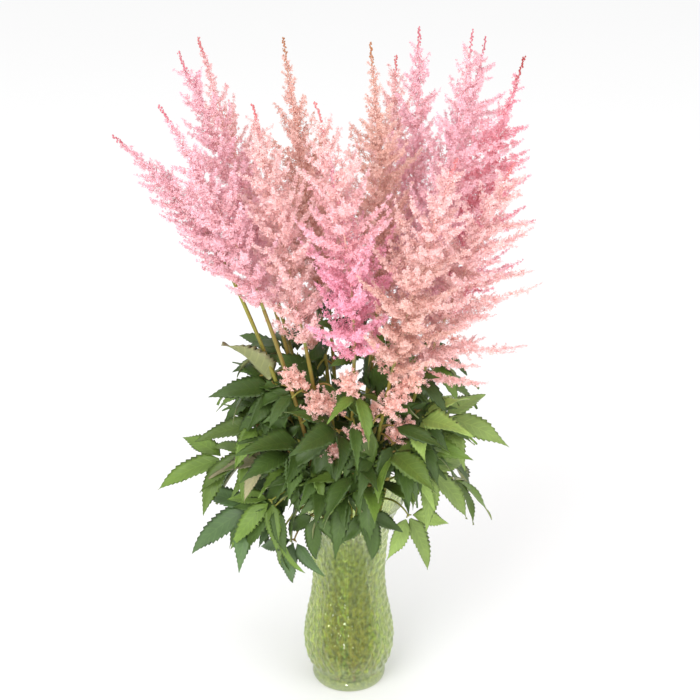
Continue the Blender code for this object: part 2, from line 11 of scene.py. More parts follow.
import bpy
import numpy as np
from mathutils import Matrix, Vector


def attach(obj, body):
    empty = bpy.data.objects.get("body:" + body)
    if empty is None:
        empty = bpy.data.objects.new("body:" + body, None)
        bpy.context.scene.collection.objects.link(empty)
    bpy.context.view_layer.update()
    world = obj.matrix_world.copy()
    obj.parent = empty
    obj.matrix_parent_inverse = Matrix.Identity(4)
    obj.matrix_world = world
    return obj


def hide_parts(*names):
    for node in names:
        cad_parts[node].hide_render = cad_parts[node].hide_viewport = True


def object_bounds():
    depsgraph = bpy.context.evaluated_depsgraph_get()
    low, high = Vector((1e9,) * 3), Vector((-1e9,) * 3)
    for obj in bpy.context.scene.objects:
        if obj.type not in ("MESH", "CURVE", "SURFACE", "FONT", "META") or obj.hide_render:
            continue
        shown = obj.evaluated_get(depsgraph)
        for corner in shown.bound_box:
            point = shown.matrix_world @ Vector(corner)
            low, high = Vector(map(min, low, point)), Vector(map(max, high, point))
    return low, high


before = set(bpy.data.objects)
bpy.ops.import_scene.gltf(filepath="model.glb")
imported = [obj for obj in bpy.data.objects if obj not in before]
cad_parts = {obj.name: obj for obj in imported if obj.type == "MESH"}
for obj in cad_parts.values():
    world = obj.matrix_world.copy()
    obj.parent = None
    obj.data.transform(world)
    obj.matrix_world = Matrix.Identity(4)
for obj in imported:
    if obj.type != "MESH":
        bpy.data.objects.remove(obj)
CAD_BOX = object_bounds()

MM = 0.001
UP = np.array([0.0, 0.0, 1.0])
GAP = 0.3 * MM

# Vase: height and outer radius of its turned outline, from the foot up
VASE_OUTLINE = [(0, 41), (4, 42), (8, 41.5), (12, 40), (28, 46.5), (50, 49.8), (78, 47), (104, 42),
                (130, 39.2), (165, 40.5), (197, 44), (210, 47.5), (222, 52.5), (232, 58), (237, 62)]
VASE_WALL = 4 * MM
VASE_FLOOR = 10 * MM
WATER_TOP = 150 * MM
WATER_COLUMNS = 64
WATER_RINGS = 20
INSIDE_RINGS = 26
LIP_INSIDE = 1.2 * MM

# The glass grows paler up from one level, and down from the top of the foot to another
PALE_FROM = 170 * MM
FOOT_TOP = 12 * MM
PALE_FOOT = 5 * MM

# The corner between wall and floor inside the vase is filled over a height
CORNER_HEIGHT = 14 * MM
CORNER_FILL = 8 * MM

# Rings of the lip (inset, drop) and of the foot (level, then inset and level of its edge), in mm
LIP_RINGS = [(2.4, 0.3), (1.2, 0), (0, 1.0)]
FOOT_LEVELS = (11, 9.5, 8, 6, 4, 2.5, 1.2)
FOOT_EDGE = [(0.3, 0.3), (1, 0)]

# Spread curve of the stems
WAIST_SPREAD = 0.26
SHOULDER_HEIGHT = 460 * MM
SPREAD_POWER = 1.45

# Stems: their thickness and swelling, and how red they are, most of all in the water
STEM_RADIUS = 2.7 * MM
SPRAY_STEM_RADIUS = 1.9 * MM
STALK_RADIUS = 1.2 * MM
STEM_TAPER = 0.74
TIP_RADIUS = 0.28 * MM
STEM_RINGS = 34
STEM_SIDES = 10
STALK_SIDES = 6
TWIG_SIDES = 5
BRANCH_SIDES = 3
FOOT_RINGS = 4
STEM_SWELL = 0.05
SWELL_PACE = 1.7
MOST_RED = 0.5
SUNK_SHARE = 0.8
SUNK_POWER = 0.5

# Points by which a branch is kept clear of the neighbouring stems and plumes, in mm
GROWTH_FROM = 300
GROWTH_STEP = 8
GROWTH_POINTS = 31

# Plumes. The reach of the branches is (place on the plume, share of the longest branch).
# Lengths without a unit are in mm
HEADING_STEP = 8
BEND_SHARE = 0.45
CAD_BRANCHES = 19
WHORL = 4
BRANCH_FIRST = 0.02
BRANCH_LAST = 0.80
BRANCH_OPEN = 62
BRANCH_CURL = 30
BRANCH_STEPS = 6
BRANCH_REACH = [(0, 0.72), (0.14, 0.98), (0.3, 1), (0.55, 0.84), (0.8, 0.44), (1, 0.08)]
HIGHEST_BRANCH = 0.95

# How the fine branches of a plume vary, and how their florets deepen towards its foot in painted shade
TURN_SCATTER = 0.4
MAIN_REACH = (0.95, 1.14)
MINOR_REACH = (0.5, 0.95)
OPENING_SCATTER = (-14, 10)
BRANCH_WOBBLE = 0.5 * MM
BRANCH_RADII = (0.7, 0.25)
SHELL_SHARE = 0.14
FOOT_DEPTH = 0.1
DEPTH_GAIN = 0.5

# How far a branch may go between its neighbours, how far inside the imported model's box it stays,
# and the share of its length below which it is left out
NEIGHBOUR_MIX = 16 * MM
BOX_INSET = np.array([0, 3, 0]) * MM
SHORTEST_SHARE = 0.3

# Sprigs on the sides of long branches
FEATHERED_BRANCH = 20 * MM
SPRIG_PITCH = 5.6 * MM
SPRIG_PLACES = (0.14, 0.8)
SPRIG_SIDE = 0.8
SPRIG_SCATTER = 0.25
SPRIG_SHARE = 0.3
SPRIG_LONGEST = 17 * MM
SPRIG_TAPER = 0.75
SPRIG_RADII = (0.4 * MM, 0.2 * MM)
SPRIG_SHELL = 1.6 * MM
SPRIG_DEPTH = 0.1

# The axis of a plume: its points, how it thins and loses its green, and its own florets
AXIS_POINTS = 26
AXIS_THINNING = 1.3
AXIS_FADE = 1.6
TIP_TINT_FROM = 0.75
AXIS_CLOTHED = slice(2, 22)
AXIS_SHELL = 3.4 * MM
AXIS_SHELL_SHARE = 0.02
AXIS_DEPTH = 0.5
AXIS_DENSITY = 1.4

GOLDEN_ANGLE = radians(137.5)
TURN_REFERENCE = np.array([0.3, 1.0, 0.1])

# Leaflets
BLADE_ARCH = 38
LEAFLET_ANGLE = 54
LEAFLET_SEAT = 5 * MM
PAIR_STEP = 0.42
UPPER_PAIR = 0.84
LOWER_PAIR = 0.72


def linear(red, green, blue):
    """Linear colour of a display colour whose parts run from 0 to 255."""
    parts = np.array([red, green, blue]) / 255
    return np.where(parts > 0.04045, ((parts + 0.055) / 1.055) ** 2.4, parts / 12.92)


def solid(red, green, blue):
    """The same colour with full cover, for a node's socket."""
    return (*linear(red, green, blue), 1)


# Plume colours: open florets outside, florets deep inside, buds at the tips. The deeper colour of the
# florets inside is painted shade, and it also colours the branches near their roots
PINK = (linear(246, 204, 215), linear(235, 178, 180), linear(206, 112, 126))
BRIGHT_PINK = (linear(250, 190, 212), linear(240, 160, 178), linear(210, 100, 130))
PALE_PINK = (linear(248, 212, 212), linear(238, 188, 179), linear(214, 120, 122))
BEIGE_PINK = (linear(239, 201, 192), linear(225, 172, 155), linear(178, 116, 66))
SPRAY_PINK = (linear(248, 212, 204), linear(238, 184, 168), linear(206, 130, 108))
DEEP_PINK = (linear(248, 184, 198), linear(235, 152, 160), linear(176, 60, 60))

# Flowering stems, in mm: spot at shoulder height, height of the plume's foot, tip of the plume,
# longest side branch, colours
PLUMES = {
    "far_left": ((-102, -20), 500, (-230, -15, 650), 46, PINK),
    "left": ((-78, -54), 484, (-175, -80, 700), 54, PINK),
    "left_back": ((-80, 54), 456, (-155, 110, 715), 62, PALE_PINK),
    "left_tall": ((-78, 6), 452, (-165, 15, 725), 70, PINK),
    "left_front": ((-48, -46), 436, (-90, -60, 695), 64, PALE_PINK),
    "golden": ((-32, 30), 446, (-65, 50, 730), 66, BEIGE_PINK),
    "front": ((6, -72), 428, (-30, -110, 712), 82, BRIGHT_PINK),
    "middle": ((28, -10), 446, (20, -25, 745), 66, BEIGE_PINK),
    "back_middle": ((36, 76), 440, (50, 150, 685), 68, PALE_PINK),
    "inner_right": ((52, 34), 446, (70, 60, 738), 60, PINK),
    "right_tall": ((68, -28), 446, (115, -50, 763), 66, PINK),
    "back_right": ((84, 62), 444, (140, 100, 718), 66, PINK),
    "right": ((96, 12), 436, (170, 5, 723), 70, DEEP_PINK),
    "right_front": ((50, -86), 412, (97, -150, 673), 76, BEIGE_PINK),
    "far_right": ((92, -58), 396, (153, -100, 651), 76, PALE_PINK),
    "back": ((-24, 88), 428, (-50, 155, 600), 70, PALE_PINK),
}

# Leaf-only stems, in mm: spot at shoulder height, height where the last stalk leaves
LEAF_STEMS = {
    "west": ((-112, 18), 262),
    "south_west": ((-46, -98), 262),
    "south_east": ((22, -112), 258),
    "north_west": ((-62, 96), 256),
}

# Leaf colours: mid, dark, bluish and bright green upper sides
MID = linear(90, 114, 46)
DARK = linear(62, 84, 34)
BLUISH = linear(74, 98, 58)
BRIGHT = linear(132, 156, 80)
OLIVE = linear(132, 128, 96)
UNDERSIDE = linear(140, 144, 100)
STEM_GREEN = linear(138, 146, 62)
STEM_RED = linear(120, 62, 48)
STEM_SUNK = linear(166, 40, 52)

# Colours of the surfaces. VEIN_LIGHT and RED_PATCH multiply the mesh's own colour
# GLASS_DEEP and GLASS_LIGHT: the glass's green, spread into specks of painted shade and painted
# highlight
GLASS_DEEP = solid(108, 146, 20)
GLASS_LIGHT = solid(226, 250, 88)
GLASS_PALE = solid(226, 242, 176)
WATER_LIGHT = solid(244, 250, 228)
WATER_DEEP = solid(236, 246, 214)
FLOOR_LOW = (0.93, 0.93, 0.93, 1)
FLOOR_HIGH = (0.95, 0.95, 0.95, 1)
VEIN_LIGHT = (1.2, 1.18, 1.12, 1)
RED_PATCH = (1.25, 0.72, 0.6, 1)

# Leaves: stem, height on the stem in mm, bearing, rise and droop of the stalk in degrees,
# stalk in mm, leaflet length in mm, width as a share of length, pairs of side leaflets,
# degrees by which the blades face forward, colour
LEAVES = [
    ("far_left", 365, 186, 66, 10, 20, 72, 0.64, 0, -50, OLIVE),
    ("far_left", 326, 190, 22, 25, 40, 62, 0.48, 2, 25, MID),
    ("west", 262, 193, 38, 45, 96, 74, 0.42, 2, 25, MID),
    ("left", 240, 197, 28, 50, 84, 78, 0.42, 2, 30, BLUISH),
    ("south_west", 250, 206, 30, 110, 76, 54, 0.38, 1, 0, MID),
    ("south_west", 262, 246, 42, 110, 44, 50, 0.48, 1, 0, DARK),
    ("front", 285, 292, 72, 5, 26, 82, 0.38, 0, 55, DARK),
    ("south_east", 258, 290, 48, 100, 36, 50, 0.5, 1, 0, DARK),
    ("right", 325, 348, 30, 40, 50, 72, 0.44, 2, 25, BRIGHT),
    ("far_right", 288, 350, 35, 75, 44, 74, 0.42, 2, 30, BRIGHT),
    ("far_right", 244, 318, 30, 80, 42, 62, 0.44, 1, 20, BRIGHT),
    ("left_front", 305, 222, 48, 30, 44, 70, 0.5, 1, 35, DARK),
    ("front", 335, 236, 45, 30, 32, 66, 0.5, 1, 40, DARK),
    ("right_front", 318, 300, 42, 40, 38, 68, 0.5, 1, 40, MID),
    ("middle", 350, 295, 62, 10, 24, 66, 0.5, 1, 40, DARK),
    ("golden", 350, 225, 58, 10, 26, 66, 0.5, 1, 40, DARK),
    ("left_front", 264, 264, 48, 35, 34, 64, 0.5, 1, 40, DARK),
    ("right_front", 268, 272, 50, 35, 34, 64, 0.5, 1, 40, MID),
    ("far_right", 342, 308, 48, 30, 34, 62, 0.5, 1, 40, BRIGHT),
    ("left", 300, 232, 46, 35, 40, 64, 0.5, 1, 35, DARK),
    ("left_tall", 351, 207, 50, 35, 40, 64, 0.48, 1, 35, DARK),
    ("right_tall", 300, 326, 46, 35, 44, 64, 0.48, 1, 35, MID),
    ("golden", 300, 250, 68, 20, 30, 62, 0.5, 1, 45, DARK),
    ("middle", 300, 266, 68, 20, 30, 62, 0.5, 1, 45, DARK),
    ("inner_right", 340, 300, 60, 20, 30, 62, 0.5, 1, 45, DARK),
    ("right_tall", 370, 286, 60, 20, 28, 62, 0.5, 1, 45, DARK),
    ("right", 248, 6, 35, 70, 82, 66, 0.44, 1, 0, MID),
    ("back_right", 330, 36, 35, 45, 60, 66, 0.46, 1, 0, MID),
    ("back_right", 250, 30, 40, 80, 90, 66, 0.44, 1, 0, DARK),
    ("back_middle", 330, 74, 45, 45, 56, 66, 0.46, 1, 0, MID),
    ("back_middle", 250, 56, 42, 80, 90, 66, 0.44, 1, 0, BLUISH),
    ("back", 325, 116, 45, 45, 56, 66, 0.46, 1, 0, DARK),
    ("back", 250, 98, 42, 80, 92, 66, 0.44, 1, 0, MID),
    ("north_west", 256, 128, 42, 80, 90, 66, 0.44, 1, 0, BRIGHT),
    ("left_back", 330, 152, 35, 45, 60, 66, 0.46, 1, 0, MID),
    ("left_back", 252, 168, 40, 75, 92, 66, 0.44, 1, 0, BLUISH),
    # leaves without solids, which fill the left side and the gap under the middle plumes
    ("left", 262, 214, 24, 50, 62, 62, 0.42, 1, 25, MID),
    ("west", 252, 206, 16, 60, 64, 60, 0.42, 1, 25, DARK),
    ("south_west", 244, 216, 18, 90, 62, 58, 0.4, 1, 15, BLUISH),
    ("left_front", 262, 216, 26, 60, 76, 60, 0.42, 1, 25, DARK),
    ("left_tall", 296, 204, 24, 40, 76, 62, 0.42, 1, 25, MID),
    ("left", 286, 190, 34, 40, 58, 56, 0.42, 1, 25, OLIVE),
    ("golden", 408, 262, 62, 20, 26, 62, 0.5, 1, 45, DARK),
    ("middle", 410, 238, 62, 20, 34, 60, 0.5, 1, 45, DARK),
    ("back", 404, 268, 66, 20, 30, 62, 0.5, 1, 45, DARK),
]

# Low side sprays of florets: stem, height on the stem, bearing, length in mm. Those of the
# second list have no solids. A tuft is one of the short branches of a spray
SIDE_SPRAYS = [
    ("front", 352, 195, 48),
    ("right_front", 326, 335, 44),
    ("left_front", 380, 225, 44),
    ("right_front", 366, 290, 46),
    ("left_front", 292, 285, 44),
]
EXTRA_SPRAYS = [
    ("front", 388, 262, 46),
    ("front", 322, 282, 44),
    ("right_front", 388, 318, 46),
    ("left_front", 346, 262, 44),
    ("right_tall", 388, 278, 48),
    ("golden", 400, 245, 46),
    ("front", 352, 330, 44),
]
SPRAY_RISE = 0.9
SPRAY_STALK = 12 * MM
SPRAY_POINTS = 8
SPRAY_RADII = (1.0, 0.4)
SPRAY_SHELL = 3.2 * MM
SPRAY_DENSITY = 1.4
SPRAY_SPRIGS = 15
TUFT_STEPS = 5
TUFT_FIRST = 0.16
TUFT_STEP = 0.05
TUFT_SHARE = 0.52
TUFT_LOSS = 0.02
TUFT_RADII = (0.6, 0.3)
TUFT_SHELL = 2.6 * MM

# Plumes whose colour changes towards the tip
TOP_COLOURS = {"front": PALE_PINK, "right_front": PALE_PINK}
COLOUR_CHANGE = (0.3, 0.7)

# Plumes with long level fingers on their outer side
FINGERED = {"right", "far_right", "right_tall", "back_right"}
FINGER_LENGTH = 1.3
FINGER_OPENING = 16
FINGER_SIDE = 0.7

# Plumes that end in a long thin tip, and how their branches shorten towards it
SLENDER_TIPS = {"far_left", "left", "left_back", "golden", "middle", "right", "back"}
SLENDER_CUT = 0.55
SLENDER_FROM = 0.66
SLENDER_FADE = 0.2

# Beads on the tip of every plume
TIP_BUDS = 84
TIP_BUDS_FROM = 0.76
TIP_STALK = 3.8
TIP_STALK_LOSS = 2.2
TIP_STALK_RANGE = (0.4, 1)
TIP_BUD_RANGE = (0.9, 1.6)
TIP_COLOUR_FROM = 0.84
TIP_COLOUR_FADE = 0.12

# Florets: narrow petals at their real size
PETALS = 5
PETAL_LENGTH = 3.3 * MM
PETAL_WIDTH = 0.5
PETAL_OPEN = 0.95
PETAL_OPEN_SCATTER = 0.4
PETAL_TWIST = 0.5
PETAL_RANGE = (0.7, 1.2)
# Painted light: the petals glow faintly in their own colour, which lifts the shade inside the plumes
PAINTED_PETAL_GLOW = 0.05
FLORETS_PER_MM = 0.8
FEWEST_FLORETS = 4
FLORETS_FROM = 0.04
FLORET_SHELL = 2.8 * MM
SHELL_TAPER = 0.7
SHELL_CORE = 0.02
FLORET_LEAN = 0.7
FLORET_LIFT = 0.2
FLORET_TAPER = 0.5
FLORET_RANGE = (0.8, 1.2)
COLOUR_SCATTER = 0.2
TINT_RANGE = (0.94, 1.08)
# Share of the deep colour at the middle of each floret: painted shade where the petals meet
PAINTED_CENTRE_SHADE = 0.4
BRIGHTEST = 0.98

# Buds at the end of a branch
BUD_RADIUS = 0.8 * MM
BUDS_PER_MM = 0.12
BUDS_FROM = 0.86
BUD_SEAT = 0.8
BUD_RANGE = (0.6, 1.0)
BUD_DEEPEST = 0.5

# Leaf blades
FINE_TEETH = 13
FILLER_TEETH = 8
TOOTH_DEPTH = 0.15
BLADE_THICKNESS = 0.7 * MM
THIN_EDGE = 0.4
BLADE_COLUMNS = [-1, -0.55, 0, 0.55, 1]
BLADE_SLIMNESS = 0.86
OUTLINE_START = 0.1
OUTLINE_BEND = 0.7
OUTLINE_FULLNESS = 0.85
BLADE_FOOT = (0.16, 0.06)
TIP_SHARE = 0.45
TIP_NARROWING = 0.5
ARCH_SCATTER = (-12, 16)
TWIST = 0.5
SPINE_STRETCH = 1.06
FOLD_RANGE = (0.15, 0.5)
WAVE_HEIGHT = 0.05
WAVE_PACE = 9
BLADE_END = 0.02 * MM
NOTCH_SWEEP = -0.3
TOOTH_SWEEP = 0.5
SWEEP_RISE = 3
TONE_RANGE = (0.75, 1.4)
TONE_ALONG = (0.88, 0.24)
UNDERSIDE_RANGE = (0.85, 1.1)

# Veins drawn on a blade: sharpness of the midrib and side veins, their number and slant
RIB_SHARPNESS = 14.0
VEIN_SHARPNESS = 7.0
VEINS_ALONG = 9.0
VEIN_SLANT = 1.7
SOFT_EDGE = 0.3
GRAIN_SHARE = 0.3

# Stalks of the leaves, in mm, and of their side leaflets
STALK_POINTS = 12
STALK_RADII = (1.35, 0.85)
RED_STALKS = 0.5
LEAFLET_STUB = 4 * MM
STUB_RADII = [0.9 * MM, 0.8 * MM, 0.7 * MM]

# Small leaves that fill the middle of the bunch: how many on a stem, their heights, and the
# ranges of their bearing, rise, droop, stalk, size, width and lean
FILLERS_PER_STEM = 8
FILLER_LOWEST = 266
FILLER_HIGHEST = 405
FRONT_RISE = 26
FILLER_DROP = 24
FILLER_SPAN = 10
FILLER_BEARING = (-100, 100)
FILLER_RISE = (0, 75)
FILLER_DROOP = (20, 90)
FILLER_STALK = (14, 34)
FILLER_SIZE = (40, 66)
FILLER_WIDTH = (0.34, 0.48)
FILLER_LEAN = (-10, 45)
FILLER_DARK = 0.8
FILLER_PAIRED = 0.35

# Pressed diamonds of the glass
DIAMONDS_ROUND = 28
DIAMOND_ROW = 12 * MM
DIAMOND_RELIEF = 2.8 * MM
DIAMOND_SPLIT = 6
RINGS_PER_ROW = 4
DIAMOND_TOP = 2.2 * MM
DIAMOND_ORIGIN = 15 * MM
DIAMOND_SINK = 0.25
RELIEF_FOOT = (14 * MM, 6 * MM)
RELIEF_LIP = (4 * MM, 10 * MM)

# Camera of the photograph
CAMERA_PLACE = (0.0013, -1.5, 1.13)
CAMERA_PITCH = 25.6
SENSOR = 36
FOCAL_PIXELS = 1587
PHOTO_PIXELS = 700

# Lamps: name, place, size in metres, power in watts
LAMPS = [
    ("key", (-1.4, -2.2, 2.6), 2.0, 50),
    ("fill", (2.2, -1.4, 1.8), 2.0, 20),
    ("glint", (-0.2, -2.2, 0.3), 0.35, 12),
]
LAMP_AIM = Vector((0, 0, 0.45))
WORLD_LIGHT = 0.95
FLOOR_SIZE = 40


class Heap:
    """Vertices, triangles, colours and surface places gathered for one mesh."""

    def __init__(self):
        self.places = []
        self.faces = []
        self.tints = []
        self.surface_places = []
        self.surfaces = []
        self.count = 0

    def add(self, places, faces, tints, surface_places=None, surface=0):
        """Add vertices with their colours, and triangles numbered from the first of them."""
        if surface_places is None:
            surface_places = np.zeros((len(places), 2))
        self.places.append(places)
        self.faces.append(faces + self.count)
        self.tints.append(np.broadcast_to(tints, (len(places), 3)))
        self.surface_places.append(surface_places)
        self.surfaces.append(np.full(len(faces), surface))
        self.count += len(places)

    def build(self, name, materials):
        """The mesh object of what was gathered."""
        places = np.concatenate(self.places)
        faces = np.concatenate(self.faces)
        tints = np.concatenate(self.tints)
        mesh = bpy.data.meshes.new(name)
        mesh.vertices.add(len(places))
        mesh.vertices.foreach_set("co", places.astype(np.float32).ravel())
        mesh.loops.add(faces.size)
        mesh.loops.foreach_set("vertex_index", faces.astype(np.int32).ravel())
        mesh.polygons.add(len(faces))
        mesh.polygons.foreach_set("loop_start", np.arange(0, faces.size, 3, dtype=np.int32))
        mesh.polygons.foreach_set("material_index", np.concatenate(self.surfaces).astype(np.int32))
        mesh.update(calc_edges=True)
        tint = mesh.color_attributes.new("tint", "FLOAT_COLOR", "POINT")
        with_alpha = np.concatenate([tints, np.ones((len(tints), 1))], axis=1)
        tint.data.foreach_set("color", with_alpha.astype(np.float32).ravel())
        layer = mesh.uv_layers.new(name="surface")
        flat = np.concatenate(self.surface_places)[faces.ravel()]
        layer.data.foreach_set("uv", flat.astype(np.float32).ravel())
        for surface in materials:
            mesh.materials.append(surface)
        mesh.shade_smooth()
        item = bpy.data.objects.new(name, mesh)
        bpy.context.scene.collection.objects.link(item)
        return item


def unit(vectors):
    """Vectors scaled to length one."""
    return vectors / np.linalg.norm(vectors, axis=-1, keepdims=True)


def dice(name):
    """Random draws that are the same at each run for the same name."""
    return np.random.default_rng(zlib.crc32(name.encode()))


def smooth_through(knots, at):
    """Values at places of the smooth curve through the knots, which are (place, value) pairs."""
    places, values = np.array(knots, float).T
    slopes = np.gradient(values, places)
    k = np.clip(np.searchsorted(places, at) - 1, 0, len(knots) - 2)
    width = places[k + 1] - places[k]
    t = (at - places[k]) / width
    start = values[k] * (1 + 2 * t) * (1 - t) ** 2 + slopes[k] * width * t * (1 - t) ** 2
    end = values[k + 1] * t * t * (3 - 2 * t) - slopes[k + 1] * width * t * t * (1 - t)
    return start + end


def vase_radius(height):
    """Outer radius of the vase at a height."""
    return smooth_through(VASE_OUTLINE, np.asarray(height) / MM) * MM


def spread(height):
    """Share of its shoulder offset that a stem keeps at a height."""
    rise = max(height - WATER_TOP, 0) / (SHOULDER_HEIGHT - WATER_TOP)
    return WAIST_SPREAD + (1 - WAIST_SPREAD) * rise ** SPREAD_POWER


def stem_place(spot, height):
    """Point on the stem of a spot at a height."""
    return np.array([spot[0] * MM * spread(height), spot[1] * MM * spread(height), height])


def plume_axis(plume, shares):
    """Points and directions on a plume's axis, from 0 at its foot to 1 at its tip."""
    spot, foot_height, tip, _, _ = plume
    foot = stem_place(spot, foot_height * MM)
    heading = unit(foot - stem_place(spot, (foot_height - HEADING_STEP) * MM))
    start = foot + heading * GAP
    end = np.array(tip) * MM
    bend = start + heading * np.linalg.norm(end - start) * BEND_SHARE
    t = np.asarray(shares, float)[..., None]
    places = start * (1 - t) ** 2 + bend * 2 * t * (1 - t) + end * t ** 2
    return places, unit((bend - start) * (1 - t) + (end - bend) * t)


def growth_lines():
    """Sample points of each flowering stem and its plume."""
    lines = {}
    for name, plume in PLUMES.items():
        stem = [stem_place(plume[0], z * MM) for z in range(GROWTH_FROM, plume[1], GROWTH_STEP)]
        flower = plume_axis(plume, np.linspace(0, 1, GROWTH_POINTS))[0]
        lines[name] = np.concatenate([stem, flower])
    return lines


def own_room(name, points, lines):
    """How much nearer points are to their own stem than to any other."""
    def reach(line):
        return np.linalg.norm(points[:, None] - line[None], axis=2).min(axis=1)
    others = np.concatenate([line for other, line in lines.items() if other != name])
    return reach(others) - reach(lines[name])


def across(direction, turn):
    """Unit vector square to a direction, turned round it."""
    side = unit(np.cross(direction, TURN_REFERENCE))
    return side * cos(turn) + np.cross(direction, side) * sin(turn)


def branch_line(root, along, turn, length, opening=BRANCH_OPEN, steps=BRANCH_STEPS):
    """Course of a side branch: out from the axis, curling up towards the tip."""
    out = across(along, turn)
    lean = np.radians(opening - BRANCH_CURL * (np.arange(steps) + 0.5) / steps)[:, None]
    moves = (out * np.sin(lean) + along * np.cos(lean)) * length / steps
    return np.concatenate([[root], root + np.cumsum(moves, axis=0)])


def grid_triangles(numbers, flip):
    """Two triangles for each cell of a grid of vertex numbers."""
    a, b = numbers[:-1, :-1].ravel(), numbers[:-1, 1:].ravel()
    c, d = numbers[1:, 1:].ravel(), numbers[1:, :-1].ravel()
    order = ((a, c, b), (a, d, c)) if flip else ((a, b, c), (a, c, d))
    return np.concatenate([np.stack(triangle, -1) for triangle in order])


def ring_triangles(rings, sides, flip):
    """Triangles between closed rings of vertices, which are numbered ring by ring."""
    grid = np.arange(rings * sides).reshape(rings, sides)
    return grid_triangles(np.concatenate([grid, grid[:, :1]], axis=1), flip)


def tube(heap, points, radii, tints, sides, surface=0):
    """A closed round tube along points."""
    points = np.asarray(points)
    rings = len(points)
    ahead = unit(np.gradient(points, axis=0))
    first = unit(np.cross(ahead, TURN_REFERENCE))
    second = np.cross(ahead, first)
    angles = np.arange(sides) / sides * 2 * pi
    angles = angles[None, :, None]
    circle = first[:, None] * np.cos(angles) + second[:, None] * np.sin(angles)
    places = points[:, None] + circle * np.asarray(radii)[:, None, None]
    places = np.concatenate([places.reshape(-1, 3), points[[0, -1]]])
    walls = ring_triangles(rings, sides, False)
    ring = np.arange(sides)
    ring_next = (ring + 1) % sides
    bottom = np.stack([ring_next, ring, np.full(sides, rings * sides)], -1)
    last = (rings - 1) * sides
    top = np.stack([ring + last, ring_next + last, np.full(sides, rings * sides + 1)], -1)
    colours = np.broadcast_to(tints, (rings, 3))
    colours = np.concatenate([np.repeat(colours, sides, axis=0), colours[[0, -1]]])
    heap.add(places, np.concatenate([walls, bottom, top]), colours, surface=surface)


def florets(heap, places, axes, sizes, base_tints, tip_tints, draw):
    """Open florets: a star of petals that widen outwards, at each place."""
    count = len(places)
    side = unit(np.cross(axes, draw.normal(size=(count, 3))))
    other = np.cross(axes, side)
    spin = draw.uniform(0, 2 * pi, count)[:, None] + np.arange(PETALS) / PETALS * 2 * pi
    opening = PETAL_OPEN + draw.uniform(-PETAL_OPEN_SCATTER, PETAL_OPEN_SCATTER, (count, PETALS))
    radial = side[:, None] * np.cos(spin)[..., None] + other[:, None] * np.sin(spin)[..., None]
    ahead = radial * np.sin(opening)[..., None] + axes[:, None] * np.cos(opening)[..., None]
    twist = draw.uniform(-PETAL_TWIST, PETAL_TWIST, (count, PETALS, 1))
    flat = np.cross(axes[:, None], radial) + axes[:, None] * twist
    reach = sizes[:, None, None] * draw.uniform(*PETAL_RANGE, (count, PETALS, 1))
    tips = places[:, None] + ahead * reach
    half = flat * reach * PETAL_WIDTH / 2
    rims = np.stack([tips - half, tips + half], 2).reshape(count, PETALS * 2, 3)
    corners = np.concatenate([places[:, None], rims], axis=1)
    size = 1 + PETALS * 2
    rim = np.arange(PETALS) * 2 + 1
    petal = np.stack([np.zeros(PETALS, int), rim, rim + 1], -1)
    faces = petal[None] + np.arange(count)[:, None, None] * size
    tints = np.repeat(tip_tints[:, None], size, axis=1)
    tints[:, 0] = base_tints
    heap.add(corners.reshape(-1, 3), faces.reshape(-1, 3), tints.reshape(-1, 3))


OCTAHEDRON = np.array([(1, 0, 0), (-1, 0, 0), (0, 1, 0), (0, -1, 0), (0, 0, 1.3), (0, 0, -1.3)])
OCTAHEDRON_FACES = np.array([(0, 2, 4), (2, 1, 4), (1, 3, 4), (3, 0, 4),
                             (2, 0, 5), (1, 2, 5), (3, 1, 5), (0, 3, 5)])


def buds(heap, places, sizes, tints):
    """Closed buds: small pointed beads."""
    corners = places[:, None] + OCTAHEDRON[None] * sizes[:, None, None]
    faces = OCTAHEDRON_FACES[None] + np.arange(len(places))[:, None, None] * len(OCTAHEDRON)
    heap.add(corners.reshape(-1, 3), faces.reshape(-1, 3), np.repeat(tints, len(OCTAHEDRON), axis=0))


def along_line(line, shares):
    """Points and directions at shares of a line's length."""
    at = np.asarray(shares) * (len(line) - 1)
    low = np.minimum(at.astype(int), len(line) - 2)
    step = line[low + 1] - line[low]
    return line[low] + step * (at - low)[:, None], unit(step)


def clothe(heap, line, thickness, colours, depth, draw, density=1.0):
    """Cover a branch with florets, and with buds at its very tip."""
    length = np.linalg.norm(line[-1] - line[0])
    outer, inner, bud = colours
    count = max(FEWEST_FLORETS, int(length / MM * FLORETS_PER_MM * density))
    shares = draw.uniform(FLORETS_FROM, 1, count)
    places, ahead = along_line(line, shares)
    around = unit(np.cross(ahead, draw.normal(size=(count, 3))))
    shell = thickness * (1 - SHELL_TAPER * shares) * np.sqrt(draw.uniform(SHELL_CORE, 1, count))
    places = places + around * shell[:, None]
    axes = unit(around + ahead * FLORET_LEAN + UP * FLORET_LIFT)
    sizes = PETAL_LENGTH * (1 - FLORET_TAPER * shares) * draw.uniform(*FLORET_RANGE, count)
    scatter = draw.normal(0, COLOUR_SCATTER, count)
    # Painted shade: florets near a branch's root, and more so on low branches, take the plume's deep
    # colour
    mix = np.clip(depth + (1 - depth) * shares + scatter, 0, 1)[:, None]
    body = inner * (1 - mix) + outer * mix
    tips = np.minimum(body * draw.uniform(*TINT_RANGE, (count, 1)), BRIGHTEST)
    florets(heap, places, axes, sizes, inner * PAINTED_CENTRE_SHADE + body * (1 - PAINTED_CENTRE_SHADE), tips, draw)
    end_buds(heap, line, max(1, int(length / MM * BUDS_PER_MM)), outer, bud, draw)


def end_buds(heap, line, count, outer, bud, draw):
    """Closed buds at the very tip of a branch."""
    shares = draw.uniform(BUDS_FROM, 1.0, count)
    places, ahead = along_line(line, shares)
    around = unit(np.cross(ahead, draw.normal(size=(count, 3))))
    blend = draw.uniform(0.0, BUD_DEEPEST, (count, 1))
    buds(heap, places + around * BUD_SEAT * MM, BUD_RADIUS * draw.uniform(*BUD_RANGE, count),
         bud * blend + outer * (1 - blend))


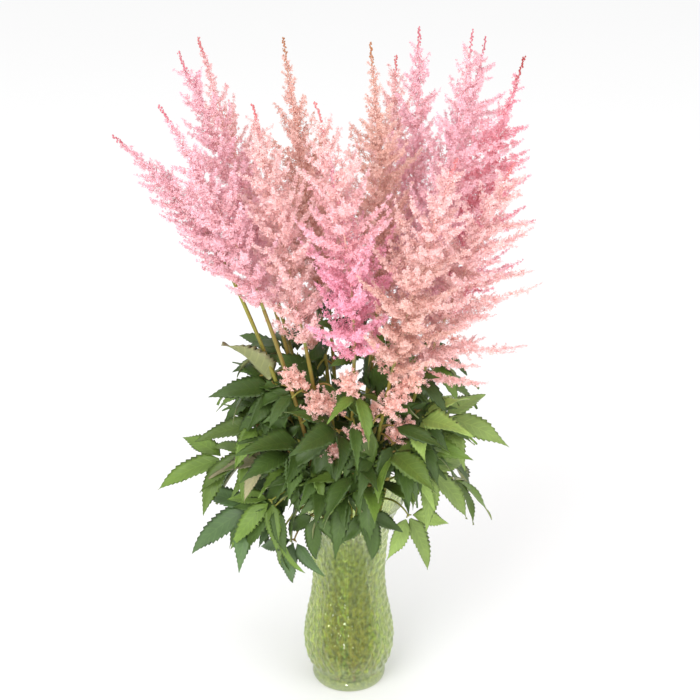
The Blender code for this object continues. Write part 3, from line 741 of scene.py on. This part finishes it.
def fitting_line(name, root, along, turn, length, opening, lines):
    """A side branch cut back until it stays clear of the neighbours, or None."""
    line = branch_line(root, along, turn, length, opening)
    low = np.array(CAD_BOX[0]) + BOX_INSET
    high = np.array(CAD_BOX[1]) - BOX_INSET
    outside = ((line < low) | (line > high)).any(axis=1)
    far = (own_room(name, line, lines) < -NEIGHBOUR_MIX) | outside
    if not far.any():
        return line
    share = np.argmax(far) / BRANCH_STEPS
    if share < SHORTEST_SHARE:
        return None
    return branch_line(root, along, turn, length * share, opening)


def branch_plan(name, draw):
    """Place on the axis, turn, share of the longest branch and opening of every fine branch."""
    step = (BRANCH_LAST - BRANCH_FIRST) / (CAD_BRANCHES - 1) / WHORL
    count = int((HIGHEST_BRANCH - BRANCH_FIRST) / step)
    for k in range(count):
        share = BRANCH_FIRST + step * k
        scatter = draw.uniform(-TURN_SCATTER, TURN_SCATTER)
        turn = GOLDEN_ANGLE * (k // WHORL) + pi / 2 * (k % WHORL) + scatter
        reach = smooth_through(BRANCH_REACH, share)
        reach *= draw.uniform(*(MINOR_REACH if k % WHORL else MAIN_REACH))
        if name in SLENDER_TIPS:
            reach *= 1 - SLENDER_CUT * min(max((share - SLENDER_FROM) / SLENDER_FADE, 0), 1)
        yield share, turn, reach, BRANCH_OPEN + draw.uniform(*OPENING_SCATTER)


def colours_at(name, plume, share):
    """Colours of a plume at a place on its axis."""
    top = TOP_COLOURS.get(name, plume[4])
    start, end = COLOUR_CHANGE
    mix = min(max((share - start) / (end - start), 0), 1)
    return [low * (1 - mix) + high * mix for low, high in zip(plume[4], top)]


def make_plume(name, plume, lines, surface):
    """One plume: a thin axis, tapering side branches and all their florets and buds."""
    draw = dice(name)
    heap = Heap()
    make_axis(heap, plume, colours_at(name, plume, 1), draw)
    for share, turn, reach, opening in branch_plan(name, draw):
        root, along = plume_axis(plume, share)
        if name in FINGERED and across(along, turn)[0] > FINGER_SIDE:
            reach *= FINGER_LENGTH
            opening += FINGER_OPENING
        line = fitting_line(name, root, along, turn, plume[3] * MM * reach, opening, lines)
        if line is None:
            continue
        length = np.linalg.norm(line[-1] - root)
        colours = colours_at(name, plume, share)
        line[1:-1] += draw.normal(0, BRANCH_WOBBLE, (len(line) - 2, 3))
        # Painted shade: each branch and its florets deepen towards the root, and more so low on the
        # plume
        shades = np.linspace(0, 1, len(line))[:, None]
        radii = np.linspace(*BRANCH_RADII, len(line)) * MM
        tube(heap, line, radii, colours[1] * (1 - shades) + colours[0] * shades, BRANCH_SIDES)
        depth = FOOT_DEPTH + DEPTH_GAIN * share
        clothe(heap, line, min(FLORET_SHELL, SHELL_SHARE * length), colours, depth, draw)
        if length > FEATHERED_BRANCH:
            make_sprigs(heap, line, along, length, colours, depth, draw)
    tip_buds(heap, plume, colours_at(name, plume, 1), draw)
    return heap.build(f"{name}_florets", [surface])


def make_axis(heap, plume, colours, draw):
    """The plume's own stem, green at its foot, thinning to the tip, with florets on it."""
    _, inner, bud = colours
    shares = np.linspace(0, 1, AXIS_POINTS)
    points = plume_axis(plume, shares)[0]
    radii = TIP_RADIUS + (STEM_RADIUS * STEM_TAPER - TIP_RADIUS) * (1 - shares) ** AXIS_THINNING
    fade = np.clip(shares * AXIS_FADE, 0, 1)[:, None]
    tip_fade = np.clip((shares - TIP_TINT_FROM) / (1 - TIP_TINT_FROM), 0, 1)[:, None]
    body = STEM_GREEN * (1 - fade) + inner * fade
    tube(heap, points, radii, body * (1 - tip_fade) + (bud + inner) / 2 * tip_fade, STALK_SIDES)
    reach = np.linalg.norm(points[-1] - points[0])
    shell = min(AXIS_SHELL, reach * AXIS_SHELL_SHARE)
    clothe(heap, points[AXIS_CLOTHED], shell, plume[4], AXIS_DEPTH, draw, AXIS_DENSITY)


def make_sprigs(heap, line, along, length, colours, depth, draw):
    """Short sprigs on both sides of a long branch, which make it feathery."""
    for k, share in enumerate(np.arange(*SPRIG_PLACES, SPRIG_PITCH / length)):
        root, ahead = along_line(line, [share])
        sideways = unit(np.cross(ahead[0], along)) * (1 if k % 2 else -1)
        heading = unit(ahead[0] + sideways * SPRIG_SIDE + draw.normal(0, SPRIG_SCATTER, 3))
        reach = min(length * SPRIG_SHARE, SPRIG_LONGEST) * (1 - share * SPRIG_TAPER)
        sprig = root[0] + heading * np.linspace(0, reach, 2)[:, None]
        tube(heap, sprig, SPRIG_RADII, colours[1], BRANCH_SIDES)
        clothe(heap, sprig, SPRIG_SHELL, colours, depth + SPRIG_DEPTH, draw)


def tip_buds(heap, plume, colours, draw):
    """Beads on tiny stalks up the thin tip of a plume."""
    outer, _, bud = colours
    shares = np.linspace(TIP_BUDS_FROM, 1.0, TIP_BUDS)
    places, ahead = plume_axis(plume, shares)
    around = unit(np.cross(ahead, draw.normal(size=places.shape)))
    reach = TIP_STALK - TIP_STALK_LOSS * (shares - TIP_BUDS_FROM) / (1 - TIP_BUDS_FROM)
    reach = reach[:, None] * MM * draw.uniform(*TIP_STALK_RANGE, (TIP_BUDS, 1))
    mix = np.clip((shares - TIP_COLOUR_FROM) / TIP_COLOUR_FADE, 0, 1)[:, None]
    buds(heap, places + around * reach, BUD_RADIUS * draw.uniform(*TIP_BUD_RANGE, TIP_BUDS),
         outer * (1 - mix) + bud * mix)


def stalk_line(leaf, spots, shares):
    """Points and headings along a leaf's stalk, which bends down evenly along its length."""
    host, height, _, _, _, stalk = leaf[:6]
    bearing, rise, bend = np.radians(leaf[2:5])
    slope = rise - bend * np.asarray(shares, float)
    ahead = (sin(rise) - np.sin(slope)) / bend * stalk * MM
    lift = (np.cos(slope) - cos(rise)) / bend * stalk * MM
    flat = np.array([cos(bearing), sin(bearing), 0])
    heading = flat * np.cos(slope)[..., None] + UP * np.sin(slope)[..., None]
    start = stem_place(spots[host], height * MM)
    return start + flat * ahead[..., None] + UP * lift[..., None], heading


def blade_half(share, width):
    """Half the width along a blade: a full curve, narrow at the foot and drawn out at the tip."""
    curve = np.sin(pi * (OUTLINE_START + (1 - OUTLINE_START) * share) ** OUTLINE_BEND)
    half = width * BLADE_SLIMNESS / 2 * curve ** OUTLINE_FULLNESS
    foot_share, foot_width = BLADE_FOOT
    half *= np.clip(share / foot_share, foot_width, 1) ** OUTLINE_BEND
    half *= 1 - TIP_NARROWING * np.clip((share - (1 - TIP_SHARE)) / TIP_SHARE, 0, 1)
    half[-1] = BLADE_END
    return half


def blade_faces(rows, wide):
    """Triangles of a blade's upper and lower side, which share their edges, and of its two ends."""
    grid = np.arange(rows * wide).reshape(rows, wide)
    under = grid + rows * wide
    under[:, 0] = grid[:, 0]
    under[:, -1] = grid[:, -1]
    ends = []
    for row in (0, rows - 1):
        for k in range(wide - 1):
            ends.append((grid[row, k], grid[row, k + 1], under[row, k + 1]))
            ends.append((grid[row, k], under[row, k + 1], under[row, k]))
    return np.concatenate([grid_triangles(grid, False), grid_triangles(under, True), np.array(ends)])


def blade(heap, start, heading, normal, length, width, tint, draw, teeth=FINE_TEETH):
    """Finely toothed leaflet that arches down to its long tip, folded a little at its midrib."""
    stations = 2 * teeth
    share = np.arange(stations + 1) / stations
    arch = np.radians(BLADE_ARCH + draw.uniform(*ARCH_SCATTER)) * share
    side = unit(np.cross(heading, normal))
    twist = draw.uniform(-TWIST, TWIST) * share
    ahead = heading * np.cos(arch)[:, None] - normal * np.sin(arch)[:, None]
    lift = normal * np.cos(arch)[:, None] + heading * np.sin(arch)[:, None]
    across_blade = side * np.cos(twist)[:, None] + lift * np.sin(twist)[:, None]
    lift = unit(np.cross(across_blade, ahead))
    spine = start + np.cumsum(ahead * length * SPINE_STRETCH / stations, axis=0)
    half = blade_half(share, width)
    pointed = np.arange(stations + 1) % 2 == 1
    tooth = np.where(pointed, 1.0, 1 - TOOTH_DEPTH)
    sweep = np.where(pointed, TOOTH_SWEEP, NOTCH_SWEEP) * length / stations
    sweep = sweep[:, None] * np.minimum(half / width * SWEEP_RISE, 1)[:, None]
    fold = draw.uniform(*FOLD_RANGE)
    wave = draw.uniform(0, 2 * pi)
    columns = []
    for column in BLADE_COLUMNS:
        edge = abs(column) == 1
        out = half * column * (tooth if edge else 1)
        ripple = WAVE_HEIGHT * width * column * np.sin(share * WAVE_PACE + wave) * abs(column)
        place = spine + across_blade * out[:, None] + lift * (fold * np.abs(out) + ripple)[:, None]
        columns.append(place + ahead * sweep if edge else place)
    top = np.stack(columns, 1)
    thin = BLADE_THICKNESS * (1 - np.abs(BLADE_COLUMNS))[None, :, None] ** THIN_EDGE
    places = np.concatenate([top.reshape(-1, 3), (top - lift[:, None] * thin).reshape(-1, 3)])
    start_tone, tone_gain = TONE_ALONG
    tone = tint * draw.uniform(*TONE_RANGE) * (start_tone + tone_gain * share)[:, None]
    upper = np.repeat(tone, len(BLADE_COLUMNS), axis=0)
    lower = np.broadcast_to(UNDERSIDE * draw.uniform(*UNDERSIDE_RANGE), upper.shape)
    surface_place = np.stack(np.broadcast_arrays(share[:, None], np.array(BLADE_COLUMNS)[None]), -1)
    surface_place = surface_place.reshape(-1, 2)
    heap.add(places, blade_faces(stations + 1, len(BLADE_COLUMNS)), np.concatenate([upper, lower]),
             np.concatenate([surface_place, surface_place]), surface=1)


def make_leaf(heap, leaf, spots, draw, teeth=FINE_TEETH):
    """One compound leaf: a stalk with pairs of side leaflets and one at its end."""
    stalk, size, width, pairs, lean, tint = leaf[5:]
    up = np.array([0, -sin(radians(lean)), cos(radians(lean))])
    places = stalk_line(leaf, spots, np.linspace(0, 1, STALK_POINTS))[0]
    colour = (STEM_RED + STEM_GREEN) / 2 if draw.random() < RED_STALKS else STEM_GREEN
    tube(heap, places, np.linspace(*STALK_RADII, STALK_POINTS) * MM, colour, STALK_SIDES)
    half_seat = LEAFLET_SEAT / 2 / (stalk * MM)
    seats = [1 - half_seat - PAIR_STEP * pair for pair in reversed(range(pairs))]
    for seat in seats + [1]:
        place, heading = stalk_line(leaf, spots, seat)
        normal = np.cross(unit(np.cross(heading, up)), heading)
        if seat == 1:
            blade(heap, place, heading, normal, size * MM, size * width * MM, tint, draw, teeth)
            continue
        length = size * MM * (UPPER_PAIR if seat == seats[-1] else LOWER_PAIR)
        for hand in (1, -1):
            turn = hand * radians(LEAFLET_ANGLE)
            out = heading * cos(turn) + np.cross(normal, heading) * sin(turn)
            stub = place + out * np.linspace(0, LEAFLET_STUB, len(STUB_RADII))[:, None]
            tube(heap, stub, STUB_RADII, colour, TWIG_SIDES)
            blade(heap, stub[-1], out, normal, length - LEAFLET_STUB, length * width, tint, draw, teeth)


def filler_leaves(name, spot, top, draw):
    """Small leaves on a stem that close the gaps between the large ones."""
    outward = degrees(atan2(spot[1], spot[0]))
    highest = min(FILLER_HIGHEST, top / MM - FILLER_DROP)
    for _ in range(FILLERS_PER_STEM):
        bearing = outward + draw.uniform(*FILLER_BEARING)
        facing = max(-sin(radians(bearing)), 0)
        lowest = FILLER_LOWEST + FRONT_RISE * facing
        height = draw.uniform(lowest, max(highest, lowest + FILLER_SPAN))
        rise = draw.uniform(*FILLER_RISE)
        size = draw.uniform(*FILLER_SIZE)
        tint = DARK if draw.random() < FILLER_DARK else MID
        droop, stalk = draw.uniform(*FILLER_DROOP), draw.uniform(*FILLER_STALK)
        width, pairs = draw.uniform(*FILLER_WIDTH), int(draw.random() < FILLER_PAIRED)
        lean = draw.uniform(*FILLER_LEAN)
        yield name, height, bearing, rise, droop, stalk, size, width, pairs, lean, tint


def make_stem(name, spot, top, radius, spots, materials):
    """A stem with all its leaves and the feet of its low sprays."""
    draw = dice(name + " stem")
    heap = Heap()
    heights = np.linspace(VASE_FLOOR + GAP, top, STEM_RINGS)
    places = np.array([stem_place(spot, z) for z in heights])
    warmth = draw.uniform(0.0, MOST_RED)
    low = STEM_GREEN * (1 - warmth) + STEM_RED * warmth
    sunk = np.clip((WATER_TOP - heights) / WATER_TOP, 0, 1)[:, None] ** SUNK_POWER
    tints = low * (1 - sunk) + (low * (1 - SUNK_SHARE) + STEM_SUNK * SUNK_SHARE) * sunk
    taper = 1 - (1 - STEM_TAPER) * np.linspace(0, 1, STEM_RINGS)
    radii = radius * taper * (1 + STEM_SWELL * np.sin(np.arange(STEM_RINGS) * SWELL_PACE))
    tube(heap, places, radii, tints, STEM_SIDES)
    for leaf in LEAVES:
        if leaf[0] == name:
            make_leaf(heap, leaf, spots, draw)
    for leaf in filler_leaves(name, spot, top, draw):
        make_leaf(heap, leaf, spots, draw, FILLER_TEETH)
    for spray in SIDE_SPRAYS + EXTRA_SPRAYS:
        if spray[0] == name:
            foot = spray_stalk(spray, spots)
            line = np.linspace(foot[0], foot[1], FOOT_RINGS)
            tube(heap, line, [STALK_RADIUS] * FOOT_RINGS, low, STALK_SIDES)
    return heap.build(f"{name}_stem_and_leaves", materials)


def spray_stalk(spray, spots):
    """Green foot of a low side spray, out of its stem."""
    host, height, bearing, _ = spray
    start = stem_place(spots[host], height * MM)
    heading = radians(bearing)
    out = unit(np.array([cos(heading), sin(heading), SPRAY_RISE]))
    return start, start + out * SPRAY_STALK


def make_side_spray(number, spray, spots, surface):
    """A small spray of florets low on a stem."""
    draw = dice(f"spray {number}")
    heap = Heap()
    foot = spray_stalk(spray, spots)
    along = unit(foot[1] - foot[0])
    start = foot[1] + along * GAP
    length = spray[3] * MM
    line = start + along * np.linspace(0, length, SPRAY_POINTS)[:, None]
    tube(heap, line, np.linspace(*SPRAY_RADII, SPRAY_POINTS) * MM, SPRAY_PINK[1], TWIG_SIDES)
    clothe(heap, line, SPRAY_SHELL, SPRAY_PINK, 0.0, draw, SPRAY_DENSITY)
    for k in range(SPRAY_SPRIGS):
        root = start + along * length * (TUFT_FIRST + TUFT_STEP * k)
        reach = length * (TUFT_SHARE - TUFT_LOSS * k)
        sprig = branch_line(root, along, GOLDEN_ANGLE * k, reach, steps=TUFT_STEPS)
        tube(heap, sprig, np.linspace(*TUFT_RADII, len(sprig)) * MM, SPRAY_PINK[1], BRANCH_SIDES)
        clothe(heap, sprig, TUFT_SHELL, SPRAY_PINK, 0.0, draw, SPRAY_DENSITY)
    return heap.build(f"low_spray_{number:02d}", [surface])


def turned_grid(name, rings, columns, materials):
    """A turned body from rings of (radius per column, height), joined top to bottom."""
    angles = np.arange(columns) / columns * 2 * pi
    places = []
    for radius, height in rings:
        wide = np.broadcast_to(radius, angles.shape)
        level = np.full(columns, height)
        places.append(np.stack([wide * np.cos(angles), wide * np.sin(angles), level], -1))
    heap = Heap()
    heap.add(np.concatenate(places), ring_triangles(len(rings), columns, True), (1, 1, 1))
    return heap.build(name, materials)


def inside_rings(levels, gap=0.0):
    """Rings of the vase's inside, or a gap inside it, with its corner filled above the floor."""
    corner = np.clip(1 - (levels - VASE_FLOOR) / CORNER_HEIGHT, 0, 1)
    return [(float(vase_radius(max(z, FOOT_TOP))) - VASE_WALL - gap - CORNER_FILL * c ** 3, z)
            for z, c in zip(levels, corner)]


def make_vase(surface):
    """Glass vase: raised diamonds outside, smooth inside, plain foot and flared lip."""
    columns = DIAMONDS_ROUND * DIAMOND_SPLIT
    turn = np.arange(columns) / DIAMOND_SPLIT
    height = VASE_OUTLINE[-1][0] * MM
    lip, foot = float(vase_radius(height)), float(vase_radius(0))
    inside = np.linspace(VASE_FLOOR, height - LIP_INSIDE, INSIDE_RINGS)
    rings = [(0, VASE_FLOOR)] + inside_rings(inside)
    rings += [(lip - inset * MM, height - drop * MM) for inset, drop in LIP_RINGS]
    fade_foot, rise_foot = RELIEF_FOOT
    fade_lip, rise_lip = RELIEF_LIP
    for z in np.arange(height - DIAMOND_TOP, FOOT_TOP, -DIAMOND_ROW / RINGS_PER_ROW):
        row = (z - DIAMOND_ORIGIN) / DIAMOND_ROW
        bump = np.abs(np.sin(pi * (turn + row / 2)) * np.sin(pi * (turn - row / 2)))
        fade = np.clip((z - fade_foot) / rise_foot, 0, 1)
        fade *= np.clip((height - fade_lip - z) / rise_lip, 0, 1)
        rings.append((float(vase_radius(z)) + DIAMOND_RELIEF * fade * (bump - DIAMOND_SINK), z))
    rings += [(float(vase_radius(z * MM)), z * MM) for z in FOOT_LEVELS]
    rings += [(foot - inset * MM, z * MM) for inset, z in FOOT_EDGE] + [(0, 0)]
    return turned_grid("pressed_glass_vase", rings, columns, [surface])


def make_water(surface):
    """Water up to its level, a hair inside the glass."""
    levels = np.linspace(VASE_FLOOR + GAP, WATER_TOP, WATER_RINGS)[::-1]
    rings = [(0, WATER_TOP)] + inside_rings(levels, GAP) + [(0, VASE_FLOOR + GAP)]
    return turned_grid("vase_water", rings, WATER_COLUMNS, [surface])


class Surface:
    """A material with its nodes close at hand."""

    def __init__(self, name, roughness, **sockets):
        self.material = bpy.data.materials.new(name)
        self.material.use_nodes = True
        self.nodes = self.material.node_tree.nodes
        self.links = self.material.node_tree.links
        self.shader = self.nodes["Principled BSDF"]
        self.shader.inputs["Roughness"].default_value = roughness
        for socket, value in sockets.items():
            self.shader.inputs[socket.replace("_", " ")].default_value = value

    def node(self, kind, **inputs):
        """A new node; its inputs are values or other nodes' outputs."""
        made = self.nodes.new(kind)
        for key, value in inputs.items():
            self.feed(made.inputs[key.replace("_", " ")], value)
        return made

    def feed(self, socket, value):
        """Give a socket a value or a link."""
        if isinstance(value, bpy.types.NodeSocket):
            self.links.new(value, socket)
        else:
            socket.default_value = value

    def math(self, operation, *values):
        """Output of a math node."""
        made = self.nodes.new("ShaderNodeMath")
        made.operation = operation
        for socket, value in zip(made.inputs, values):
            self.feed(socket, value)
        return made.outputs[0]

    def blend(self, factor, first, second, kind="MIX"):
        """Output of a colour mix."""
        made = self.nodes.new("ShaderNodeMix")
        made.data_type = "RGBA"
        made.blend_type = kind
        for number, value in ((0, factor), (6, first), (7, second)):
            self.feed(made.inputs[number], value)
        return made.outputs[2]

    def paint(self, colour):
        """Give the surface its colour."""
        self.links.new(colour, self.shader.inputs["Base Color"])

    def noise(self, scale, detail=3.0):
        """Noise over the object."""
        place = self.node("ShaderNodeTexCoord").outputs["Object"]
        return self.node("ShaderNodeTexNoise", Vector=place, Scale=scale, Detail=detail).outputs["Fac"]

    def line_of(self, distance):
        """0 on a drawn line and 1 away from it, with a soft edge."""
        return self.math("SMOOTH_MIN", distance, 1.0, SOFT_EDGE)

    def tint(self):
        """The colour kept on the mesh."""
        made = self.node("ShaderNodeVertexColor")
        made.layer_name = "tint"
        return made.outputs["Color"]

    def shaded(self, value, green=None):
        """The colour kept on the mesh times a value, with another value for green if given."""
        green = value if green is None else green
        tone = self.node("ShaderNodeCombineColor", Red=value, Green=green, Blue=value)
        return self.blend(1.0, self.tint(), tone.outputs["Color"], "MULTIPLY")

    def spread_out(self, value, low, high, start=0.0, end=1.0):
        """A value from start to end spread between two others."""
        made = self.node("ShaderNodeMapRange", Value=value, From_Min=start, From_Max=end,
                         To_Min=low, To_Max=high)
        return made.outputs["Result"]

    def bump(self, height, strength, distance):
        """Bump from a height."""
        made = self.node("ShaderNodeBump", Height=height, Strength=strength, Distance=distance)
        self.links.new(made.outputs["Normal"], self.shader.inputs["Normal"])


def petal_surface():
    """Soft floret petals: their own tints with fine mottling, and a faint glow in the same tints that
    is painted light.
    """
    look = Surface("petals", roughness=0.62, Sheen_Weight=0.25, Sheen_Roughness=0.5,
                   Specular_IOR_Level=0.25, Emission_Strength=PAINTED_PETAL_GLOW)
    mottle = look.spread_out(look.noise(scale=420.0), low=0.9, high=1.1)
    patches = look.spread_out(look.noise(scale=26.0), low=0.92, high=1.06)
    colour = look.shaded(mottle, green=look.math("MULTIPLY", mottle, patches))
    look.paint(colour)
    # Painted light: the petals glow in their own colour
    look.links.new(colour, look.shader.inputs["Emission Color"])
    return look.material


def leaf_surface():
    """Leaf blades: midrib and side veins drawn from the blade's own places, with soft gloss."""
    look = Surface("leaf_blades", roughness=0.42, Specular_IOR_Level=0.35)
    where = look.node("ShaderNodeSeparateXYZ", Vector=look.node("ShaderNodeUVMap").outputs["UV"])
    along, sideways = where.outputs["X"], look.math("ABSOLUTE", where.outputs["Y"])
    rib = look.line_of(look.math("MULTIPLY", sideways, RIB_SHARPNESS))
    forward = look.math("MULTIPLY", along, VEINS_ALONG)
    slant = look.math("SUBTRACT", forward, look.math("MULTIPLY", sideways, VEIN_SLANT))
    wave = look.math("PINGPONG", slant, 0.5)
    vein = look.line_of(look.math("MULTIPLY", wave, VEIN_SHARPNESS))
    lines = look.math("MULTIPLY", rib, vein)
    shade = look.shaded(look.spread_out(look.noise(scale=90.0), low=0.78, high=1.2))
    look.paint(look.blend(lines, look.blend(1.0, shade, VEIN_LIGHT, "MULTIPLY"), shade))
    gloss = look.spread_out(look.noise(scale=160.0), low=0.34, high=0.55)
    look.links.new(gloss, look.shader.inputs["Roughness"])
    grain = look.math("MULTIPLY", look.noise(scale=500.0), GRAIN_SHARE)
    height = look.math("ADD", look.math("MULTIPLY", lines, 1 - GRAIN_SHARE), grain)
    look.bump(height, strength=0.35, distance=0.4 * MM)
    return look.material


def stem_surface():
    """Stems and stalks: streaked green to red-brown."""
    look = Surface("stems", roughness=0.5, Specular_IOR_Level=0.4)
    shade = look.shaded(look.spread_out(look.noise(scale=70.0, detail=5.0), low=0.7, high=1.3))
    patch = look.spread_out(look.noise(scale=18.0), low=-0.4, high=1.0)
    look.paint(look.blend(patch, shade, look.blend(1.0, shade, RED_PATCH, "MULTIPLY")))
    look.bump(look.noise(scale=700.0), strength=0.3, distance=0.3 * MM)
    return look.material


def glass_surface():
    """Green pressed glass: clear, with paler and deeper specks painted in as refraction highlights and
    shade, small waves and crisp glints.
    """
    look = Surface("green_glass", roughness=0.05, Transmission_Weight=0.84, IOR=1.34,
                   Alpha=0.74, Coat_Weight=1.0, Coat_Roughness=0.02)
    # Painted light: paler specks stand in for highlights and deeper specks for shade of light refracted
    # through the diamonds
    specks = look.noise(scale=220.0, detail=4.0)
    specks = look.spread_out(specks, low=0.0, high=1.0, start=0.38, end=0.62)
    colour = look.blend(specks, GLASS_DEEP, GLASS_LIGHT)
    place = look.node("ShaderNodeTexCoord").outputs["Object"]
    level = look.node("ShaderNodeSeparateXYZ", Vector=place).outputs["Z"]
    foot = look.spread_out(level, low=0.5, high=0.0, start=PALE_FOOT, end=FOOT_TOP)
    lip = look.spread_out(level, low=0.0, high=0.6, start=PALE_FROM, end=VASE_OUTLINE[-1][0] * MM)
    look.paint(look.blend(look.math("ADD", foot, lip), colour, GLASS_PALE))
    look.bump(look.noise(scale=300.0), strength=0.15, distance=0.5 * MM)
    return look.material


def water_surface():
    """Water, faintly green from the stems."""
    look = Surface("water", roughness=0.0, Transmission_Weight=1.0, IOR=1.12, Alpha=0.5)
    look.paint(look.blend(look.noise(scale=12.0), WATER_LIGHT, WATER_DEEP))
    return look.material


def floor_surface():
    """Plain pale floor."""
    look = Surface("floor", roughness=0.9, Specular_IOR_Level=0.0)
    look.paint(look.blend(look.noise(scale=0.8), FLOOR_LOW, FLOOR_HIGH))
    return look.material


def add_to_scene(name, data, place):
    """An object of lamp or camera data at a place."""
    item = bpy.data.objects.new(name, data)
    item.location = place
    bpy.context.scene.collection.objects.link(item)
    return item


def set_stage():
    """Floor, soft light all round and the photograph's camera."""
    bpy.ops.mesh.primitive_plane_add(size=FLOOR_SIZE)
    floor = bpy.context.object
    floor.name = "floor"
    floor.data.materials.append(floor_surface())
    world = bpy.data.worlds.new("studio")
    bpy.context.scene.world = world
    world.use_nodes = True
    sky = world.node_tree.nodes["Background"]
    sky.inputs["Color"].default_value = (1, 1, 1, 1)
    sky.inputs["Strength"].default_value = WORLD_LIGHT
    for name, place, size, power in LAMPS:
        light = bpy.data.lights.new(name, "AREA")
        light.size = size
        light.energy = power
        lamp = add_to_scene(name, light, place)
        lamp.visible_camera = False
        lamp.rotation_euler = (LAMP_AIM - lamp.location).to_track_quat("-Z", "Y").to_euler()
    lens = bpy.data.cameras.new("photo_camera")
    lens.sensor_width = SENSOR
    lens.lens = FOCAL_PIXELS / PHOTO_PIXELS * SENSOR
    camera = add_to_scene("photo_camera", lens, CAMERA_PLACE)
    camera.rotation_euler = (radians(90 - CAMERA_PITCH), 0, 0)
    bpy.context.scene.camera = camera
    bpy.context.scene.view_settings.view_transform = "Standard"


def settle(piece, node, slot):
    """Put a finished piece in the place of its CAD node."""
    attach(piece, "root")
    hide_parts(node)


def build():
    """Every piece of the arrangement."""
    settle(make_vase(glass_surface()), "vase", "glass")
    settle(make_water(water_surface()), "water", "water")
    kinds = (("stem", PLUMES, STEM_RADIUS), ("leaf_spray", LEAF_STEMS, SPRAY_STEM_RADIUS))
    spots = {name: stem[0] for _, stems, _ in kinds for name, stem in stems.items()}
    greens = [stem_surface(), leaf_surface()]
    for kind, stems, radius in kinds:
        for name, stem in stems.items():
            piece = make_stem(name, stem[0], stem[1] * MM, radius, spots, greens)
            settle(piece, f"{kind}_{name}", "leaf")
    petals = petal_surface()
    lines = growth_lines()
    slots = {id(PINK): "florets_pink", id(BRIGHT_PINK): "florets_bright", id(PALE_PINK): "florets_pale",
             id(BEIGE_PINK): "florets_beige", id(DEEP_PINK): "florets_deep"}
    for name, plume in PLUMES.items():
        settle(make_plume(name, plume, lines, petals), f"plume_{name}", slots[id(plume[4])])
    for number, spray in enumerate(SIDE_SPRAYS + EXTRA_SPRAYS, 1):
        piece = make_side_spray(number, spray, spots, petals)
        if number <= len(SIDE_SPRAYS):
            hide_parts(f"side_spray_{number:02d}")
        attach(piece, "root")


build()
set_stage()
